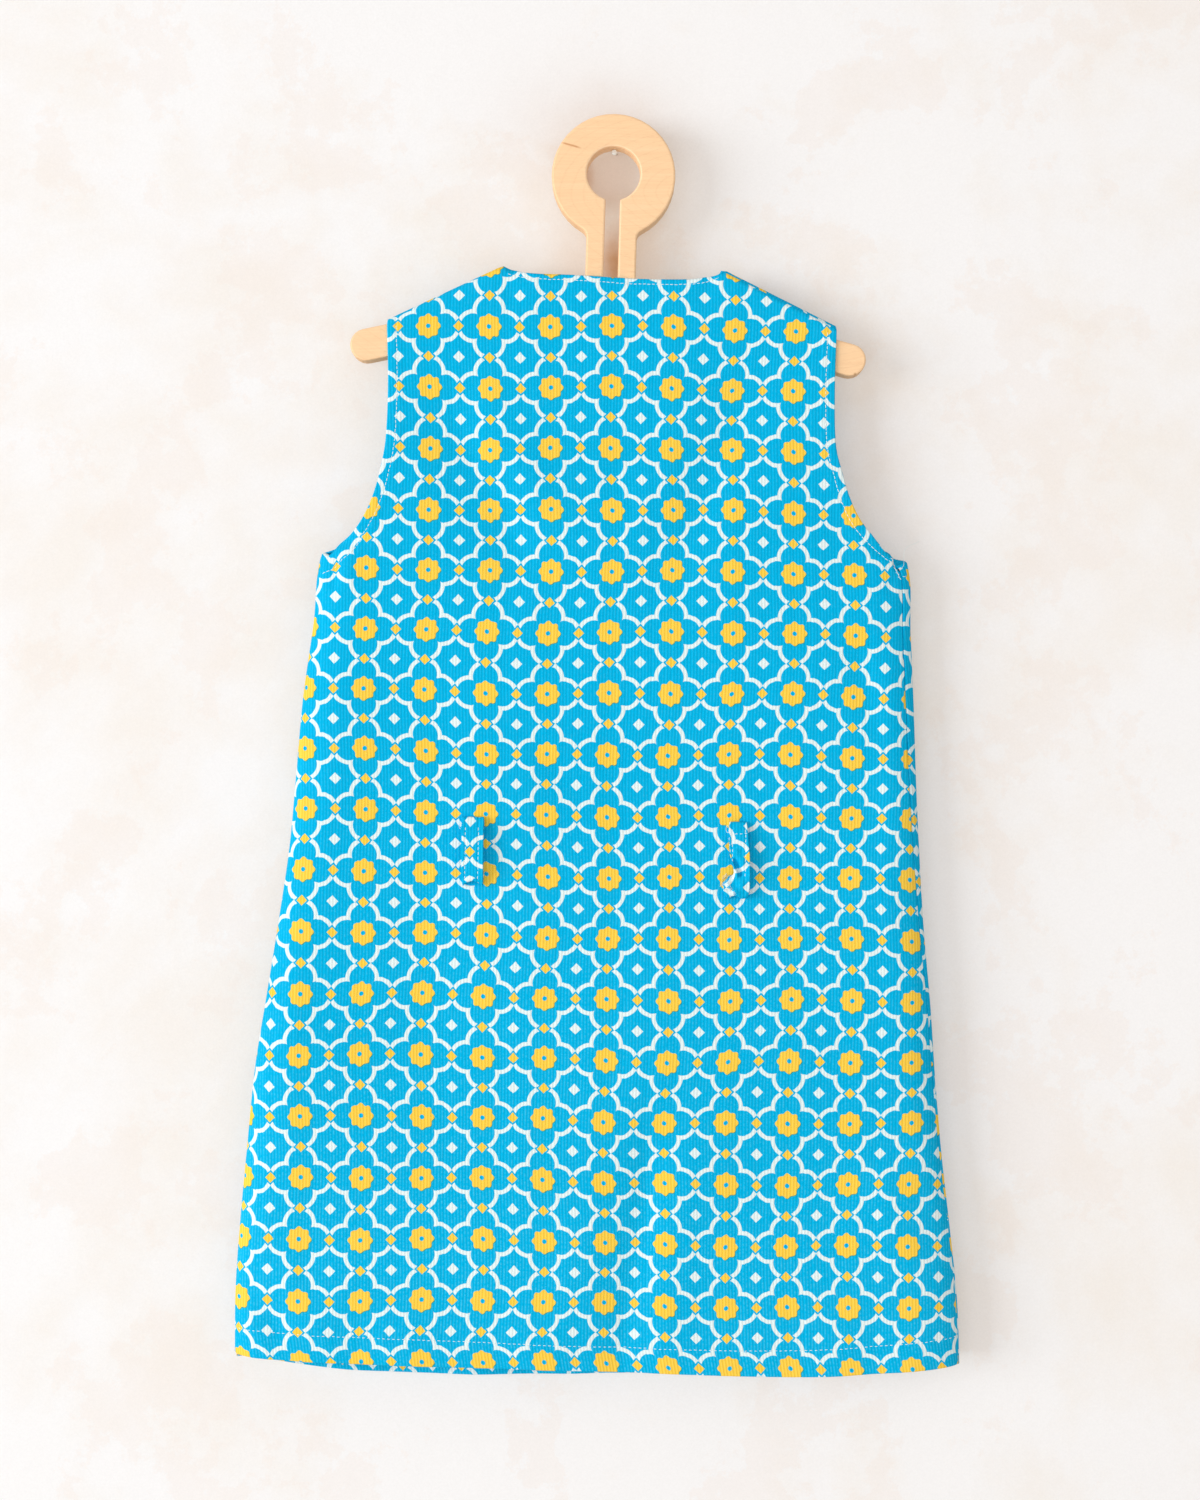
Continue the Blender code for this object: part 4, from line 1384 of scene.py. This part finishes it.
def plaster():
    material, start = new_material("pale_plaster")
    place = start.node("ShaderNodeTexCoord", {}, {}, output="Object")
    x, _, z = place.parts()
    broad = place.noise(6, 3.2, 0.62)
    small = place.noise(6, 26, 0.6)
    flaked = place.noise(9, 15, 0.68)
    grains = place.noise(2, 900, 0.6)
    patchy = {"Value": broad * 0.7 + small * 0.3, "From Min": 0.48, "From Max": 0.62}
    patch = 0.6 * broad.node("ShaderNodeMapRange", {}, patchy)
    flakes = 0.25 * (0.545 - flaked * 0.75 - broad * 0.25).within(0.02)
    # Painted warm shadow on the wall behind the hanger, above the shoulders and in the right
    # armhole
    painted_shade_behind_hole = (x.reach(z + 0.0105) - 0.019).within(0.014)
    painted_shade = painted_shade_behind_hole * (0.49 - 8 * x + 0.9 * (broad - small))
    for middle_x, middle_z, wide, high, slope, depth in PAINTED_WALL_SHADOWS:
        side_x = (x - middle_x) / wide
        side_z = (z - middle_z - slope * (x - middle_x)) / high
        painted_shade = painted_shade.larger(depth * side_x.reach(side_z).bell())
    painted_shade = painted_shade * (0.85 + 1.3 * (small - 0.5))
    colors = []
    for color, patched, bare, painted_shade_color, share in LIMEWASH_SHADE_AND_GLOW:
        color = flakes.blend(patch.blend(color, patched), bare)
        color = (share * painted_shade).blend(color, painted_shade_color)
        colors.append((0.955 + 0.09 * grains).tinted(color))
    # Painted light: the plaster glows, as no wall does, so that the real shadows on it stay light;
    # its glow carries the painted shadows too
    inputs = {
        "Base Color": colors[0],
        "Roughness": 0.9,
        "Normal": (small + 0.03 * grains).relief(0.3, 0.002),
        "Specular IOR Level": 0.1,
        "Emission Color": colors[1],
        "Emission Strength": 0.33,
    }
    clear_from_behind(start, start.node("ShaderNodeBsdfPrincipled", {}, inputs))
    return material


def stage_plane(name, place, turn, material):
    bm = bmesh.new()
    bmesh.ops.create_grid(bm, x_segments=1, y_segments=1, size=STAGE_HALF)
    bmesh.ops.rotate(bm, verts=bm.verts, cent=(0, 0, 0), matrix=turn)
    bmesh.ops.translate(bm, verts=bm.verts, vec=place)
    plane = new_piece(name, bm, material)
    return plane


backdrop = stage_plane("wall", (0, WALL_Y, 1.8), Matrix.Rotation(math.pi / 2, 3, "X"), plaster())
backdrop.visible_shadow = False
backdrop.visible_diffuse = False
backdrop.visible_glossy = False

pale, start = new_material("pale_floor")
matt = {"Base Color": FLOOR_PALE, "Roughness": 0.9}
clear_from_behind(start, start.node("ShaderNodeBsdfPrincipled", {}, matt))
stage_plane("floor", (0, 0, FLOOR_Z), Matrix.Identity(3), pale)

steel, start = new_material("pale_steel")
nail_y = start.node("ShaderNodeTexCoord", {}, {}, output="Object").parts()[1]
# Painted shadow: pale steel at the head, and from 2 mm back the shank takes the warm colour of the
# wall's shade
nail_color_and_painted_shadow = (0.0020 - nail_y).within(0.0006).blend((0.80, 0.82, 0.79, 1), (0.60, 0.42, 0.30, 1))
finish_material(start, {"Base Color": nail_color_and_painted_shadow, "Roughness": 0.4})
bm = bmesh.new()
for radius, start, end in NAIL:
    start, end = Vector(start), Vector(end)
    way = end - start
    turn = Matrix.Translation((start + end) / 2) @ way.to_track_quat("Z", "X").to_matrix().to_4x4()
    bmesh.ops.create_cone(
        bm, cap_ends=True, segments=20, radius1=radius, radius2=radius, depth=way.length,
        matrix=turn,
    )
rim = [e for e in bm.edges if all(v.co.y < NAIL[0][1][1] + 0.00001 for v in e.verts)]
bmesh.ops.bevel(bm, geom=rim, offset=0.0005, segments=3, profile=0.5, affect="EDGES", material=-1)
nail = new_piece("nail", bm, steel)

world = bpy.data.worlds.new("soft_room")
world.use_nodes = True
scene.world = world
background = world.node_tree.nodes["Background"].inputs
background["Color"].default_value = (1.0, 0.960, 0.920, 1)
background["Strength"].default_value = 0.605


def lamp(name, place, aim, size, power, color):
    light = bpy.data.lights.new(name, "AREA")
    light.shape = "RECTANGLE"
    light.size, light.size_y = size
    light.energy = power
    light.color = color
    holder = bpy.data.objects.new(name, light)
    look = (Vector(aim) - Vector(place)).to_track_quat("-Z", "Y")
    holder.matrix_world = Matrix.Translation(place) @ look.to_matrix().to_4x4()
    scene.collection.objects.link(holder)


lamp("window", (-4.75, -2.75, -0.30), (0, 0, -0.30), (3.6, 2.2), 197, (1.0, 0.99, 0.985))
lamp("low_fill", (-0.5, -2.8, -1.05), (0, 0, -0.6), (1.8, 1.8), 24, (1.0, 1.0, 1.0))

camera_data = bpy.data.cameras.new("camera")
camera_data.lens = 50
camera_data.sensor_width = 36
camera_data.sensor_fit = "AUTO"
camera_data.clip_start = 0.05
camera = bpy.data.objects.new("camera", camera_data)
camera.matrix_world = (
    Matrix.Translation((-0.0027, -1.129, -0.3258))
    @ Matrix.Rotation(math.pi / 2, 4, "X")
    @ Matrix.Rotation(math.radians(0.9), 4, "Z")
)
scene.collection.objects.link(camera)
scene.camera = camera
scene.view_settings.view_transform = "Standard"
scene.view_settings.look = "None"
